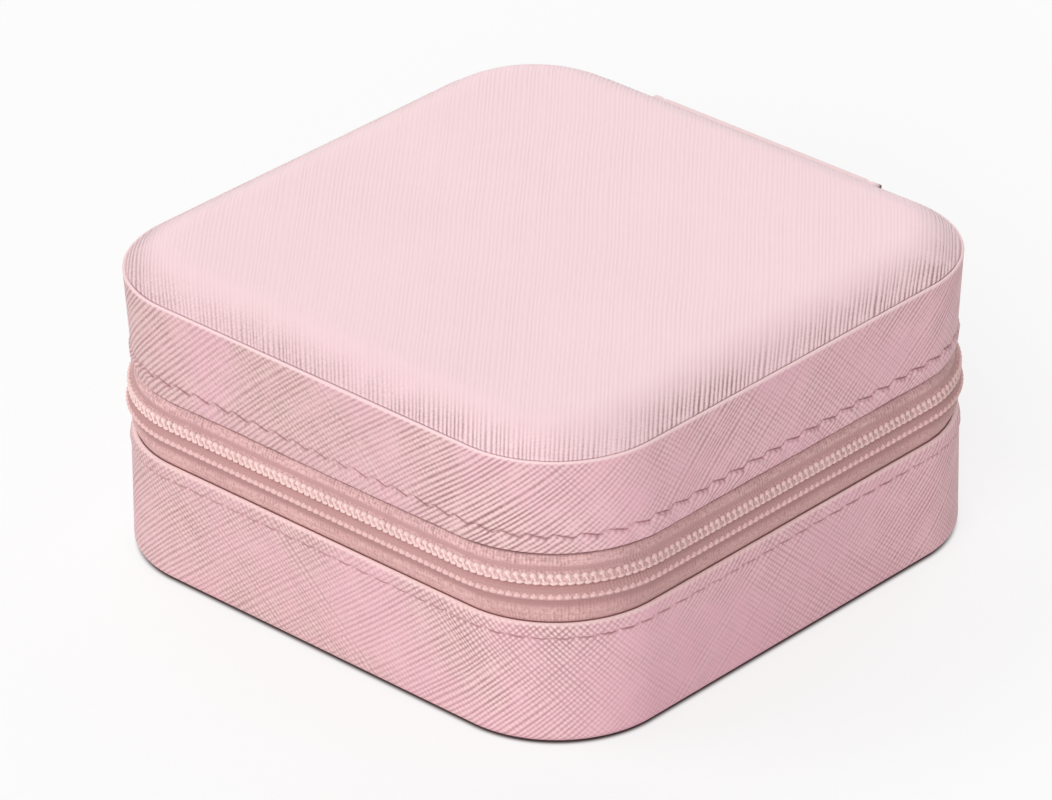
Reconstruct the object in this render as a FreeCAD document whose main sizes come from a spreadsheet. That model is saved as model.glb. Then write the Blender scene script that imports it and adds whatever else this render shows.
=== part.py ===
"""Small square jewellery case: leather over board, closed by a zip that runs round three sides.

The case is built as it comes apart on a bench: leather skins over wall boards, inner frames wrapped in
velvet, a padded lid top, two zip tapes with their meshing coils, a slider with its pull tab, and a
leather hinge panel across the back.  Millimetres, +Z up, origin under the middle of the bottom panel.
The front is -Y, the hinge is at +Y and the closed zip ends on the left side, at -X.
"""

import FreeCAD
import Part
import math
import os

import Sketcher

SIZES = {
    # outside of the case
    "case_width": 100.0,
    "case_depth": 100.0,
    "corner_radius": 20.5,
    "base_band_height": 21.5,
    "zip_gap": 10.0,
    "lid_band_height": 15.5,
    "crown_height": 4.0,
    # sheet goods, and the gaps between glued or loose pieces
    "leather_thickness": 0.9,
    "board_thickness": 2.0,
    "frame_thickness": 1.2,
    "lining_thickness": 0.7,
    "tape_thickness": 0.5,
    "glue_gap": 0.1,
    "fit_gap": 0.3,
    # edges of the leather
    "band_lift": 0.2,
    "turn_under": 7.0,
    "foot_round": 1.5,
    "edge_bevel": 0.4,
    "board_setback": 0.5,
    "seam_depth": 1.6,
    "rim_gap": 0.4,
    "pad_bevel": 1.8,
    # zip
    "tape_hem": 5.0,
    "tape_knee": 0.2,
    "zip_bulge": 0.65,
    "crest_half": 2.4,
    "chain_gap": 0.15,
    "parted_half": 1.5,
    "coil_pitch": 2.5,
    "coil_depth": 1.2,
    "coil_root": 0.8,
    "coil_back": 2.0,
    "coil_bite": 0.65,
    "tooth_depth": 0.9,
    "tooth_gap": 0.2,
    "stop_length": 1.6,
    "stop_wall": 0.5,
    # slider and pull tab
    "slider_length": 11.0,
    "slider_tail_width": 5.4,
    "slider_nose_width": 7.6,
    "slider_blunt_width": 5.8,
    "slider_waist": 1.1,
    "slider_nose_length": 2.0,
    "slider_plate": 0.9,
    "slider_round": 0.3,
    "slider_rail": 0.6,
    "post_start": 0.9,
    "post_length": 4.4,
    "post_nose_length": 1.3,
    "post_nose_width": 1.7,
    "bridge_length": 6.0,
    "bridge_width": 2.0,
    "bridge_height": 2.4,
    "bridge_bar": 0.8,
    "pull_bar_radius": 0.55,
    "pull_thickness": 1.0,
    "pull_length": 22.0,
    "pull_eye_width": 6.0,
    "pull_neck_reach": 6.2,
    "pull_neck_width": 4.8,
    "pull_tip_length": 4.4,
    "pull_tip_width": 8.0,
    "pull_end_width": 4.4,
    "pull_round": 1.6,
    # hinge across the back
    "hinge_width": 46.0,
    "hinge_foot": 4.0,
    "hinge_corner": 3.0,
    "hinge_crease": 0.4,
    # inside of the base
    "roll_width": 9.2,
    "roll_height": 16.0,
    "divider_thickness": 2.4,
    "divider_height": 17.0,
    "divider_round": 1.0,
    # inside of the lid
    "mirror_thickness": 1.2,
    "mirror_inset": 14.0,
    "mirror_corner": 6.0,
    "mirror_frame_margin": 5.0,
    "mirror_frame_lip": 2.0,
    "mirror_frame_thickness": 2.0,
}

ROLL_COUNT = 4

# Plan: how far each layer of the wall stands in from the outside of the leather.
BOARD_OUT = "(dims.leather_thickness + dims.glue_gap)"
BOARD_IN = f"({BOARD_OUT} + dims.board_thickness)"
FRAME_OUT = f"({BOARD_IN} + dims.glue_gap)"
FRAME_IN = f"({FRAME_OUT} + dims.frame_thickness)"
LINING_OUT = f"({FRAME_IN} + dims.glue_gap)"
LINING_IN = f"({LINING_OUT} + dims.lining_thickness)"
TAPE_OUT = "(dims.leather_thickness + dims.glue_gap / 2)"
TAPE_IN = f"({TAPE_OUT} + dims.tape_thickness)"
REBATE_IN = f"({BOARD_OUT} + dims.tape_thickness)"
CAVITY = f"({LINING_IN} + dims.fit_gap)"

# Heights, from the table up.
BASE_EDGE = "dims.base_band_height"
ZIP_MID = "(dims.base_band_height + dims.zip_gap / 2)"
LID_EDGE = "(dims.base_band_height + dims.zip_gap)"
SEAM = f"({LID_EDGE} + dims.lid_band_height)"
CROWN = f"({SEAM} + dims.crown_height)"
FLOOR_BOARD_FOOT = "(dims.band_lift + dims.leather_thickness)"
FLOOR_BOARD_TOP = f"({FLOOR_BOARD_FOOT} + dims.board_thickness)"
FLOOR = f"({FLOOR_BOARD_TOP} + dims.lining_thickness)"
BASE_RIM = f"({ZIP_MID} - dims.rim_gap / 2)"
LID_RIM = f"({ZIP_MID} + dims.rim_gap / 2)"
TOP_BOARD_TOP = f"({SEAM} - dims.seam_depth)"
TOP_BOARD_FOOT = f"({TOP_BOARD_TOP} - dims.board_thickness)"
CEILING = f"({TOP_BOARD_FOOT} - dims.lining_thickness)"

# The left side's straight run ends here; the stops, and then the slider, come just before it.
STRAIGHT_END = "(dims.case_depth / 2 - dims.corner_radius)"
STOP_START = f"({STRAIGHT_END} - dims.stop_length - dims.glue_gap)"
SLIDER_MID = f"({STOP_START} - dims.fit_gap - dims.slider_length / 2)"
PARTED_FROM = f"({SLIDER_MID} + dims.glue_gap)"
ZIP_END = "(dims.hinge_width / 2 + dims.fit_gap)"

# The slider's own heights, measured outward from the leather's surface.
COIL_FACE = "(dims.zip_bulge - dims.tape_thickness - dims.glue_gap / 2)"
COIL_HEEL = f"({COIL_FACE} - dims.coil_depth)"
OUTER_PLATE = "(dims.zip_bulge + dims.fit_gap)"
BRIDGE_FOOT = f"({OUTER_PLATE} + dims.slider_plate)"
INNER_PLATE = f"({COIL_HEEL} - dims.fit_gap - dims.slider_plate)"
BRIDGE_WINDOW = "(dims.bridge_height - dims.bridge_bar)"
PULL_AXIS = f"({BRIDGE_FOOT} + {BRIDGE_WINDOW} / 2)"

doc = FreeCAD.newDocument("jewellery_case")
dims = doc.addObject("Spreadsheet::Sheet", "dims")
sub_parts = []


def fill_sheet():
    """Writes the driving dimensions into the sheet, one alias a row."""
    for row, (alias, size) in enumerate(SIZES.items(), start=1):
        dims.set(f"A{row}", alias)
        dims.set(f"B{row}", str(size))
        dims.setAlias(f"B{row}", alias)
    doc.recompute()


def number(expression):
    """The value of an expression on the sheet, as a plain number of millimetres."""
    return float(dims.evalExpression(expression))


def new_body(label):
    """A sub-part that is made of sketched features."""
    body = doc.addObject("PartDesign::Body", label)
    body.Label = label
    sub_parts.append(body)
    return body


def sketch_on(body, plane, height="0"):
    """An empty sketch on one of the body's origin planes, moved along that plane's normal."""
    sketch = body.newObject("Sketcher::SketchObject", f"{body.Name}_sketch")
    support = next(f for f in body.Origin.OriginFeatures if f.Role == plane)
    sketch.AttachmentSupport = [(support, "")]
    sketch.MapMode = "FlatFace"
    sketch.setExpression("AttachmentOffset.Base.z", height)
    return sketch


def bind(sketch, constraint, expression):
    """Adds a dimension to a sketch and ties it to the sheet."""
    index = sketch.addConstraint(constraint)
    sketch.setExpression(f"Constraints[{index}]", expression)


def place_point(sketch, line, end, across, up):
    """Ties one end of a line to a place in its sketch; None leaves that direction free."""
    for kind, axis, expression in (("DistanceX", -2, across), ("DistanceY", -1, up)):
        if expression is None:
            continue
        size = number(expression)
        if abs(size) < 1e-9:
            sketch.addConstraint(Sketcher.Constraint("PointOnObject", line, end, axis))
        else:
            bind(sketch, Sketcher.Constraint(kind, -1, 1, line, end, size), expression)


def polygon(sketch, corners):
    """A closed outline of straight sides; corners are pairs of expressions."""
    points = [FreeCAD.Vector(number(x), number(y), 0) for x, y in corners]
    first = sketch.GeometryCount
    count = len(points)
    for n in range(count):
        sketch.addGeometry(Part.LineSegment(points[n], points[(n + 1) % count]), False)
    for n in range(count):
        follower = first + (n + 1) % count
        sketch.addConstraint(Sketcher.Constraint("Coincident", first + n, 2, follower, 1))
    for n, (x, y) in enumerate(corners):
        place_point(sketch, first + n, 1, x, y)


def rectangle(sketch, low_x, low_y, high_x, high_y):
    """A rectangle between two corners."""
    polygon(sketch, [(low_x, low_y), (high_x, low_y), (high_x, high_y), (low_x, high_y)])


def add_runs(sketch, centres, radius, starts_and_ends):
    """Straight runs joined by tangent arcs; centres lists each arc's (centre, first angle, last angle)."""
    first = sketch.GeometryCount
    for (start, end), arc in zip(starts_and_ends, [*centres, None]):
        sketch.addGeometry(Part.LineSegment(start, end), False)
        if arc:
            centre, low, high = arc
            circle = Part.Circle(centre, FreeCAD.Vector(0, 0, 1), radius)
            sketch.addGeometry(Part.ArcOfCircle(circle, low, high), False)
    return first


def outline(sketch, inset, radius=None):
    """The case's rounded square, moved in from the outside of the leather by inset."""
    radius = radius or f"dims.corner_radius - {inset}"
    r = number(radius)
    a = number(f"dims.case_width / 2 - {inset}") - r
    b = number(f"dims.case_depth / 2 - {inset}") - r
    vector = FreeCAD.Vector
    quarter = math.pi / 2
    corners = [(a, b), (-a, b), (-a, -b), (a, -b)]
    centres = [
        (vector(x, y, 0), n * quarter, (n + 1) * quarter) for n, (x, y) in enumerate(corners)
    ]
    lines = [
        (vector(a + r, -b, 0), vector(a + r, b, 0)),
        (vector(a, b + r, 0), vector(-a, b + r, 0)),
        (vector(-a - r, b, 0), vector(-a - r, -b, 0)),
        (vector(-a, -b - r, 0), vector(a, -b - r, 0)),
    ]
    first = add_runs(sketch, centres[:3], r, lines)
    circle = Part.Circle(centres[3][0], vector(0, 0, 1), r)
    sketch.addGeometry(Part.ArcOfCircle(circle, centres[3][1], centres[3][2]), False)
    for n in range(8):
        follower = first + (n + 1) % 8
        sketch.addConstraint(Sketcher.Constraint("Tangent", first + n, 2, follower, 1))
    for n, kind in ((0, "Vertical"), (2, "Horizontal"), (4, "Vertical"), (6, "Horizontal")):
        sketch.addConstraint(Sketcher.Constraint(kind, first + n))
    for n in (3, 5, 7):
        sketch.addConstraint(Sketcher.Constraint("Equal", first + 1, first + n))
    sketch.addConstraint(Sketcher.Constraint("Symmetric", first + 1, 3, first + 5, 3, -1, 1))
    bind(sketch, Sketcher.Constraint("Radius", first + 1, r), radius)
    width = f"dims.case_width - 2 * ({inset})"
    depth = f"dims.case_depth - 2 * ({inset})"
    across = Sketcher.Constraint("DistanceX", first + 4, 1, first, 1, number(width))
    along = Sketcher.Constraint("DistanceY", first + 6, 1, first + 2, 1, number(depth))
    bind(sketch, across, width)
    bind(sketch, along, depth)


def pad(body, sketch, length, reversed_way=False, midplane=False):
    """Material along the sketch's normal."""
    feature = body.newObject("PartDesign::Pad", f"{body.Name}_pad")
    feature.Profile = sketch
    feature.setExpression("Length", length)
    feature.Reversed = reversed_way
    feature.Midplane = midplane
    sketch.Visibility = False
    doc.recompute()
    return feature


def pocket(body, sketch, length, along_normal=False, midplane=False):
    """A cut against the sketch's normal, or along it, that has to take something away."""
    before = body.Shape.Volume
    feature = body.newObject("PartDesign::Pocket", f"{body.Name}_pocket")
    feature.Profile = sketch
    feature.setExpression("Length", length)
    feature.Reversed = along_normal
    feature.Midplane = midplane
    doc.recompute()
    if body.Shape.Volume > before - 1e-6:
        raise RuntimeError(f"{body.Label}: a pocket cut nothing")
    return feature


def dress(body, kind, setting, size, chosen):
    """Adds a fillet or a chamfer along the edges of the body that chosen(edge) picks."""
    base = body.Tip
    edges = [f"Edge{n}" for n, e in enumerate(base.Shape.Edges, start=1) if chosen(e)]
    if not edges:
        raise RuntimeError(f"{body.Label}: no edge for a {kind}")
    feature = body.newObject(f"PartDesign::{kind}", f"{body.Name}_{kind.lower()}")
    feature.Base = (base, edges)
    feature.setExpression(setting, size)
    doc.recompute()


def fillet(body, radius, chosen):
    """Rounds the chosen edges."""
    dress(body, "Fillet", "Radius", radius, chosen)


def chamfer(body, size, chosen):
    """Bevels the chosen edges."""
    dress(body, "Chamfer", "Size", size, chosen)


def level_edges(height, outside=None):
    """Picks edges lying at a height, and if asked only those on the outside of the outline at an inset."""
    z = number(height)
    half_width = None if outside is None else number(f"dims.case_width / 2 - {outside}")
    half_depth = None if outside is None else number(f"dims.case_depth / 2 - {outside}")
    radius = None if outside is None else number(f"dims.corner_radius - {outside}")

    def on_outline(point):
        x = max(abs(point.x) - (half_width - radius), 0)
        y = max(abs(point.y) - (half_depth - radius), 0)
        return abs(math.hypot(x, y) - radius) < 1e-4

    def chosen(edge):
        box = edge.BoundBox
        if abs(box.ZMin - z) > 1e-5 or abs(box.ZMax - z) > 1e-5:
            return False
        return outside is None or on_outline(edge.valueAt(edge.FirstParameter))

    return chosen


def plate(label, foot, thickness, inset, radius=None):
    """A flat sheet cut to the case's outline."""
    body = new_body(label)
    sketch = sketch_on(body, "XY_Plane", foot)
    outline(sketch, inset, radius)
    pad(body, sketch, thickness)
    return body


def add_ring(body, foot, height, outer, inner):
    """Material between two outlines of the case, added to a body."""
    sketch = sketch_on(body, "XY_Plane", foot)
    outline(sketch, outer)
    outline(sketch, inner)
    return pad(body, sketch, height)


def cut_ring(body, foot, height, outer, inner):
    """A rebate between two outlines of the case, cut upward from foot."""
    sketch = sketch_on(body, "XY_Plane", foot)
    outline(sketch, outer)
    outline(sketch, inner)
    return pocket(body, sketch, height, along_normal=True)


def ring(label, foot, height, outer, inner):
    """A wall that follows the case's outline all the way round."""
    body = new_body(label)
    add_ring(body, foot, height, outer, inner)
    return body


def base_leather():
    """The band round the base, turned under at its foot, and the bottom panel inside the turned edge."""
    flange_end = "dims.turn_under"
    band = ring(
        "base_band_leather",
        "dims.band_lift",
        f"{BASE_EDGE} - dims.band_lift",
        "0",
        "dims.leather_thickness",
    )
    add_ring(band, "dims.band_lift", "dims.leather_thickness", "dims.leather_thickness / 2", flange_end)
    fillet(band, "dims.foot_round", level_edges("dims.band_lift", "0"))
    chamfer(band, "dims.edge_bevel", level_edges(BASE_EDGE, "0"))
    plate(
        "base_bottom_leather",
        "0",
        FLOOR_BOARD_FOOT,
        f"({flange_end} + dims.fit_gap)",
    )


def base_boards():
    """The stiff half-box under the leather: floor board, rebated wall and an inner frame that stands up."""
    plate("base_floor_board", FLOOR_BOARD_FOOT, "dims.board_thickness", BOARD_OUT)
    top = f"({BASE_EDGE} - dims.board_setback)"
    wall = ring("base_wall_board", FLOOR_BOARD_TOP, f"{top} - {FLOOR_BOARD_TOP}", BOARD_OUT, BOARD_IN)
    rebate_foot = f"({BASE_EDGE} - dims.tape_hem - dims.glue_gap)"
    cut_ring(wall, rebate_foot, "dims.tape_hem", "dims.leather_thickness / 2", REBATE_IN)
    frame_top = f"({BASE_RIM} - dims.lining_thickness)"
    ring("base_inner_frame", FLOOR_BOARD_TOP, f"{frame_top} - {FLOOR_BOARD_TOP}", FRAME_OUT, FRAME_IN)


def base_lining():
    """Velvet on the base's inner wall, turned over its rim, and the velvet floor."""
    wall = ring("base_wall_lining", FLOOR_BOARD_TOP, f"{BASE_RIM} - {FLOOR_BOARD_TOP}", LINING_OUT, LINING_IN)
    cap = "(dims.lining_thickness - dims.glue_gap)"
    add_ring(wall, f"{BASE_RIM} - {cap}", cap, FRAME_OUT, f"({LINING_OUT} + dims.lining_thickness / 2)")
    plate("base_floor_lining", FLOOR_BOARD_TOP, "dims.lining_thickness", f"({LINING_IN} + dims.glue_gap)")


ROLL_PITCH = "(dims.roll_width + dims.fit_gap)"
ROLLS_BACK = f"(dims.case_depth / 2 - {CAVITY})"
ROLLS_FRONT = f"({ROLLS_BACK} - {ROLL_COUNT} * {ROLL_PITCH})"
DIVIDER_FRONT = f"({ROLLS_FRONT} - dims.divider_thickness)"


def ring_rolls():
    """Padded rolls that grip ring shanks, side by side at the back, their ends cut to the rounded corners."""
    for n in range(ROLL_COUNT):
        body = new_body(f"ring_roll_{n + 1}")
        back = f"({ROLLS_BACK} - {n} * {ROLL_PITCH})"
        sketch = sketch_on(body, "YZ_Plane")
        crown = f"({FLOOR} + dims.roll_height)"
        rectangle(sketch, f"{back} - dims.roll_width", FLOOR, back, crown)
        pad(body, sketch, "dims.case_width", midplane=True)
        round_top = level_edges(crown)
        long_side = number("dims.case_width / 2")
        fillet(
            body,
            "dims.roll_width / 2 - dims.glue_gap / 2",
            lambda e, top=round_top: top(e) and e.BoundBox.XLength > long_side,
        )
        trim = sketch_on(body, "XY_Plane", FLOOR)
        far_x = "dims.case_width"
        far_y = "dims.case_depth"
        rectangle(trim, f"-{far_x}", f"-{far_y}", far_x, far_y)
        outline(trim, CAVITY)
        pocket(body, trim, "2 * dims.roll_height", along_normal=True)


def divider(label, low_x, low_y, high_x, high_y):
    """A velvet-wrapped board that stands on the floor, rounded along its top."""
    body = new_body(label)
    sketch = sketch_on(body, "XY_Plane", FLOOR)
    rectangle(sketch, low_x, low_y, high_x, high_y)
    pad(body, sketch, "dims.divider_height")
    top = level_edges(f"{FLOOR} + dims.divider_height")
    short_side = number("dims.divider_thickness") * 2
    fillet(body, "dims.divider_round", lambda e: top(e) and e.Length > short_side)


def dividers():
    """One long divider in front of the rolls, and two short ones that make three trays at the front."""
    side = f"(dims.case_width / 2 - {CAVITY})"
    back = f"({ROLLS_FRONT})"
    divider("long_divider", f"-{side}", DIVIDER_FRONT, side, back)
    half_tray = f"((dims.case_width - 2 * {LINING_IN} - 2 * dims.divider_thickness) / 6)"
    outer = f"({half_tray} + dims.divider_thickness)"
    front = f"-(dims.case_depth / 2 - {CAVITY})"
    rear = f"({DIVIDER_FRONT} - dims.glue_gap)"
    divider("short_divider_left", f"-{outer}", front, f"-{half_tray}", rear)
    divider("short_divider_right", half_tray, front, outer, rear)


def lid_leather():
    """The lid's band, and the padded top whose leather drops into the seam behind the band's edge."""
    band = ring("lid_band_leather", LID_EDGE, "dims.lid_band_height", "0", "dims.leather_thickness")
    chamfer(band, "dims.edge_bevel", level_edges(LID_EDGE, "0"))
    chamfer(band, "dims.edge_bevel", level_edges(SEAM, "0"))
    height = f"({CROWN} - {TOP_BOARD_TOP})"
    leather = plate("lid_top_leather", TOP_BOARD_TOP, height, BOARD_OUT)
    fillet(leather, "dims.crown_height", level_edges(CROWN))
    under_skin = f"({BOARD_OUT} + dims.leather_thickness)"
    hollow_height = f"({height} - dims.leather_thickness)"
    hollow = body_of_pad(under_skin, hollow_height)
    skin = doc.addObject("Part::Cut", "lid_top_skin")
    skin.Base = leather
    skin.Tool = hollow
    sub_parts.remove(leather)
    leather.Label = "lid_top_block"
    skin.Label = "lid_top_leather"
    sub_parts.append(skin)
    foam = plate(
        "lid_foam_pad",
        TOP_BOARD_TOP,
        f"({hollow_height} - dims.glue_gap)",
        f"({under_skin} + dims.glue_gap)",
    )
    foam_top = f"({TOP_BOARD_TOP} + {hollow_height} - dims.glue_gap)"
    chamfer(foam, "dims.pad_bevel", level_edges(foam_top))


def body_of_pad(inset, height):
    """The space under the lid's top leather, bevelled to follow the leather's round edge."""
    body = doc.addObject("PartDesign::Body", "lid_top_hollow")
    sketch = sketch_on(body, "XY_Plane", TOP_BOARD_TOP)
    outline(sketch, inset)
    pad(body, sketch, height)
    chamfer(body, "dims.pad_bevel", level_edges(f"{TOP_BOARD_TOP} + {height}"))
    return body


def lid_boards():
    """The lid's top board, its rebated wall and its inner frame."""
    plate("lid_top_board", TOP_BOARD_FOOT, "dims.board_thickness", BOARD_OUT)
    foot = f"({LID_EDGE} + dims.board_setback)"
    wall = ring("lid_wall_board", foot, f"{TOP_BOARD_FOOT} - {foot}", BOARD_OUT, BOARD_IN)
    rebate_height = "(dims.tape_hem - dims.board_setback + dims.glue_gap)"
    cut_ring(wall, foot, rebate_height, "dims.leather_thickness / 2", REBATE_IN)
    frame_foot = f"({LID_RIM} + dims.lining_thickness)"
    ring("lid_inner_frame", frame_foot, f"{TOP_BOARD_FOOT} - {frame_foot}", FRAME_OUT, FRAME_IN)


def lid_lining():
    """Velvet on the lid's inner wall, turned over its rim, and the velvet ceiling."""
    wall = ring("lid_wall_lining", LID_RIM, f"{TOP_BOARD_FOOT} - {LID_RIM}", LINING_OUT, LINING_IN)
    cap = "(dims.lining_thickness - dims.glue_gap)"
    add_ring(wall, LID_RIM, cap, FRAME_OUT, f"({LINING_OUT} + dims.lining_thickness / 2)")
    plate("lid_ceiling_lining", CEILING, "dims.lining_thickness", f"({LINING_IN} + dims.glue_gap)")


def mirror():
    """A mirror against the lid's ceiling, held by a leather frame whose lip covers its edge."""
    glass_foot = f"({CEILING} - dims.mirror_thickness)"
    plate("mirror_glass", glass_foot, "dims.mirror_thickness", "dims.mirror_inset", "dims.mirror_corner")
    outer = "(dims.mirror_inset - dims.mirror_frame_margin)"
    window = "(dims.mirror_inset + dims.mirror_frame_lip)"
    frame_foot = f"({CEILING} - dims.mirror_frame_thickness)"
    body = new_body("mirror_frame")
    sketch = sketch_on(body, "XY_Plane", frame_foot)
    outline(sketch, outer, "dims.mirror_corner + dims.mirror_frame_margin")
    outline(sketch, window, "dims.mirror_corner - dims.mirror_frame_lip")
    pad(body, sketch, "dims.mirror_frame_thickness")
    seat = sketch_on(body, "XY_Plane", f"{glass_foot} - dims.glue_gap")
    outline(seat, "dims.mirror_inset - dims.glue_gap", "dims.mirror_corner + dims.glue_gap")
    pocket(body, seat, "dims.mirror_thickness + 2 * dims.glue_gap", along_normal=True)
    chamfer(body, "dims.edge_bevel", level_edges(frame_foot))


def zip_path(sketch, parted):
    """The zip's line: from the hinge's right edge round to the left side, and on to the hinge if parted."""
    half_width = number("dims.case_width / 2")
    half_depth = number("dims.case_depth / 2")
    r = number("dims.corner_radius")
    a = half_width - r
    b = half_depth - r
    end = number(ZIP_END)
    vector = FreeCAD.Vector
    last = b if parted else number(PARTED_FROM)
    runs = [
        (vector(end, half_depth, 0), vector(a, half_depth, 0)),
        (vector(half_width, b, 0), vector(half_width, -b, 0)),
        (vector(a, -half_depth, 0), vector(-a, -half_depth, 0)),
        (vector(-half_width, -b, 0), vector(-half_width, last, 0)),
        (vector(-a, half_depth, 0), vector(-end, half_depth, 0)),
    ]
    corners = [(a, b), (a, -b), (-a, -b), (-a, b)]
    quarter = math.pi / 2
    arcs = [
        (vector(x, y, 0), -n * quarter, (1 - n) * quarter) for n, (x, y) in enumerate(corners)
    ]
    kept = 5 if parted else 4
    add_runs(sketch, arcs[: kept - 1], r, runs[:kept])
    count = 2 * kept - 1
    for n in range(count - 1):
        line_first = n % 2 == 0
        ends = (2, 2) if line_first else (1, 1)
        sketch.addConstraint(Sketcher.Constraint("Tangent", n, ends[0], n + 1, ends[1]))
    for n, kind in zip(range(0, count, 2), ("Horizontal", "Vertical") * 3):
        sketch.addConstraint(Sketcher.Constraint(kind, n))
    for n in range(3, count, 2):
        sketch.addConstraint(Sketcher.Constraint("Equal", 1, n))
    bind(sketch, Sketcher.Constraint("Radius", 1, r), "dims.corner_radius")
    place_point(sketch, 0, 1, ZIP_END, "dims.case_depth / 2")
    place_point(sketch, 2, 1, "dims.case_width / 2", None)
    place_point(sketch, 4, 1, None, "-dims.case_depth / 2")
    place_point(sketch, 6, 1, "-dims.case_width / 2", None)
    if parted:
        place_point(sketch, 8, 2, f"-{ZIP_END}", "dims.case_depth / 2")
    else:
        place_point(sketch, 6, 2, None, PARTED_FROM)


def sweep(body, corners, parted):
    """A profile on the zip's first cross-section, carried along the zip's line."""
    path = sketch_on(body, "XY_Plane")
    zip_path(path, parted)
    profile = sketch_on(body, "YZ_Plane", ZIP_END)
    polygon(profile, corners)
    feature = body.newObject("PartDesign::AdditivePipe", f"{body.Name}_pipe")
    feature.Profile = profile
    feature.Spine = (path, [f"Edge{n + 1}" for n in range(path.GeometryCount)])
    doc.recompute()
    return feature


def outward(distance):
    """A distance out from the leather's surface, as a place on the zip's first cross-section."""
    return f"dims.case_depth / 2 + {distance}"


def zip_tape(label, side):
    """Half the zip's tape: a hem behind the leather, a slope out of the gap and the crest along the chain."""
    body = new_body(label)

    def level(distance):
        return f"{ZIP_MID} {side} ({distance})"

    half_skin = "dims.tape_thickness / 2"
    hem = level("dims.zip_gap / 2 + dims.tape_hem")
    crest_back = "(dims.zip_bulge - dims.tape_thickness)"
    corners = [
        (outward(f"-{TAPE_OUT}"), hem),
        (outward(f"-{TAPE_OUT}"), level("dims.zip_gap / 2 - dims.tape_knee")),
        (outward("dims.zip_bulge"), level("dims.crest_half")),
        (outward("dims.zip_bulge"), level("dims.chain_gap")),
        (outward(crest_back), level("dims.chain_gap")),
        (outward(crest_back), level(f"dims.crest_half - {half_skin}")),
        (outward(f"-{TAPE_IN}"), level(f"dims.zip_gap / 2 - dims.tape_knee - {half_skin}")),
        (outward(f"-{TAPE_IN}"), hem),
    ]
    sweep(body, corners, parted=True)
    opened = sketch_on(body, "XY_Plane", level("dims.parted_half"))
    rectangle(opened, "-dims.case_width", PARTED_FROM, f"-{ZIP_END} / 2", "dims.case_depth")
    pocket(body, opened, "dims.zip_gap / 2", along_normal=side == "-")


def path_points(inset, spacing, phase):
    """Places along the closed chain at an even spacing: (point, direction of travel, way out)."""
    half_width = number("dims.case_width / 2")
    half_depth = number("dims.case_depth / 2")
    r = number("dims.corner_radius")
    a = half_width - r
    b = half_depth - r
    quarter = r * math.pi / 2
    lengths = [a - number(ZIP_END), quarter, 2 * b, quarter, 2 * a, quarter, b + number(PARTED_FROM)]
    starts = [(number(ZIP_END), half_depth), (half_width, b), (a, -half_depth), (-half_width, -b)]
    centres = [(a, b), (a, -b), (-a, -b)]
    total = sum(lengths)
    count = int((total - spacing) / spacing)
    for n in range(1, count):
        s = (n + phase) * spacing
        leg = 0
        while s > lengths[leg]:
            s -= lengths[leg]
            leg += 1
        turn = -math.pi / 2 * (leg // 2)
        if leg % 2:
            turn -= s / r
            x, y = centres[leg // 2]
            out = FreeCAD.Vector(math.cos(turn + math.pi / 2), math.sin(turn + math.pi / 2), 0)
            point = FreeCAD.Vector(x, y, 0) + out * (r - inset)
        else:
            x, y = starts[leg // 2]
            out = FreeCAD.Vector(math.cos(turn + math.pi / 2), math.sin(turn + math.pi / 2), 0)
            along = FreeCAD.Vector(math.cos(turn), math.sin(turn), 0)
            point = FreeCAD.Vector(x, y, 0) + along * s - out * inset
        yield point, turn


def zip_coil(label, side, phase):
    """Half the zip's coil: a cord behind the tape's edge with teeth that mesh with the other half's."""
    cord = doc.addObject("PartDesign::Body", f"{label}_cord")
    corners = [
        (outward(face), f"{ZIP_MID} {side} {height}")
        for face, height in (
            (COIL_FACE, "dims.coil_root"),
            (COIL_FACE, "dims.coil_back"),
            (COIL_HEEL, "dims.coil_back"),
            (COIL_HEEL, "dims.coil_root"),
        )
    ]
    sweep(cord, corners, parted=False)
    pitch = number("dims.coil_pitch")
    width = pitch / 2 - number("dims.tooth_gap")
    depth = number("dims.tooth_depth")
    inset = -(number(COIL_FACE) + number(COIL_HEEL)) / 2
    middle = number(ZIP_MID)
    sign = 1 if side == "+" else -1
    tip = middle - sign * number("dims.coil_bite")
    root = middle + sign * (number("dims.coil_root") + number("dims.coil_back")) / 2
    teeth = []
    for point, turn in path_points(inset, pitch, phase):
        corner = FreeCAD.Vector(-width / 2, -depth / 2, min(tip, root))
        tooth = Part.makeBox(width, depth, abs(root - tip), corner)
        tooth.rotate(FreeCAD.Vector(0, 0, 0), FreeCAD.Vector(0, 0, 1), math.degrees(turn))
        tooth.translate(point)
        teeth.append(tooth)
    comb = doc.addObject("Part::Feature", f"{label}_teeth")
    comb.Shape = Part.makeCompound(teeth)
    coil = doc.addObject("Part::Fuse", label)
    coil.Base = cord
    coil.Tool = comb
    coil.Label = label
    sub_parts.append(coil)
    doc.recompute()


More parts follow.
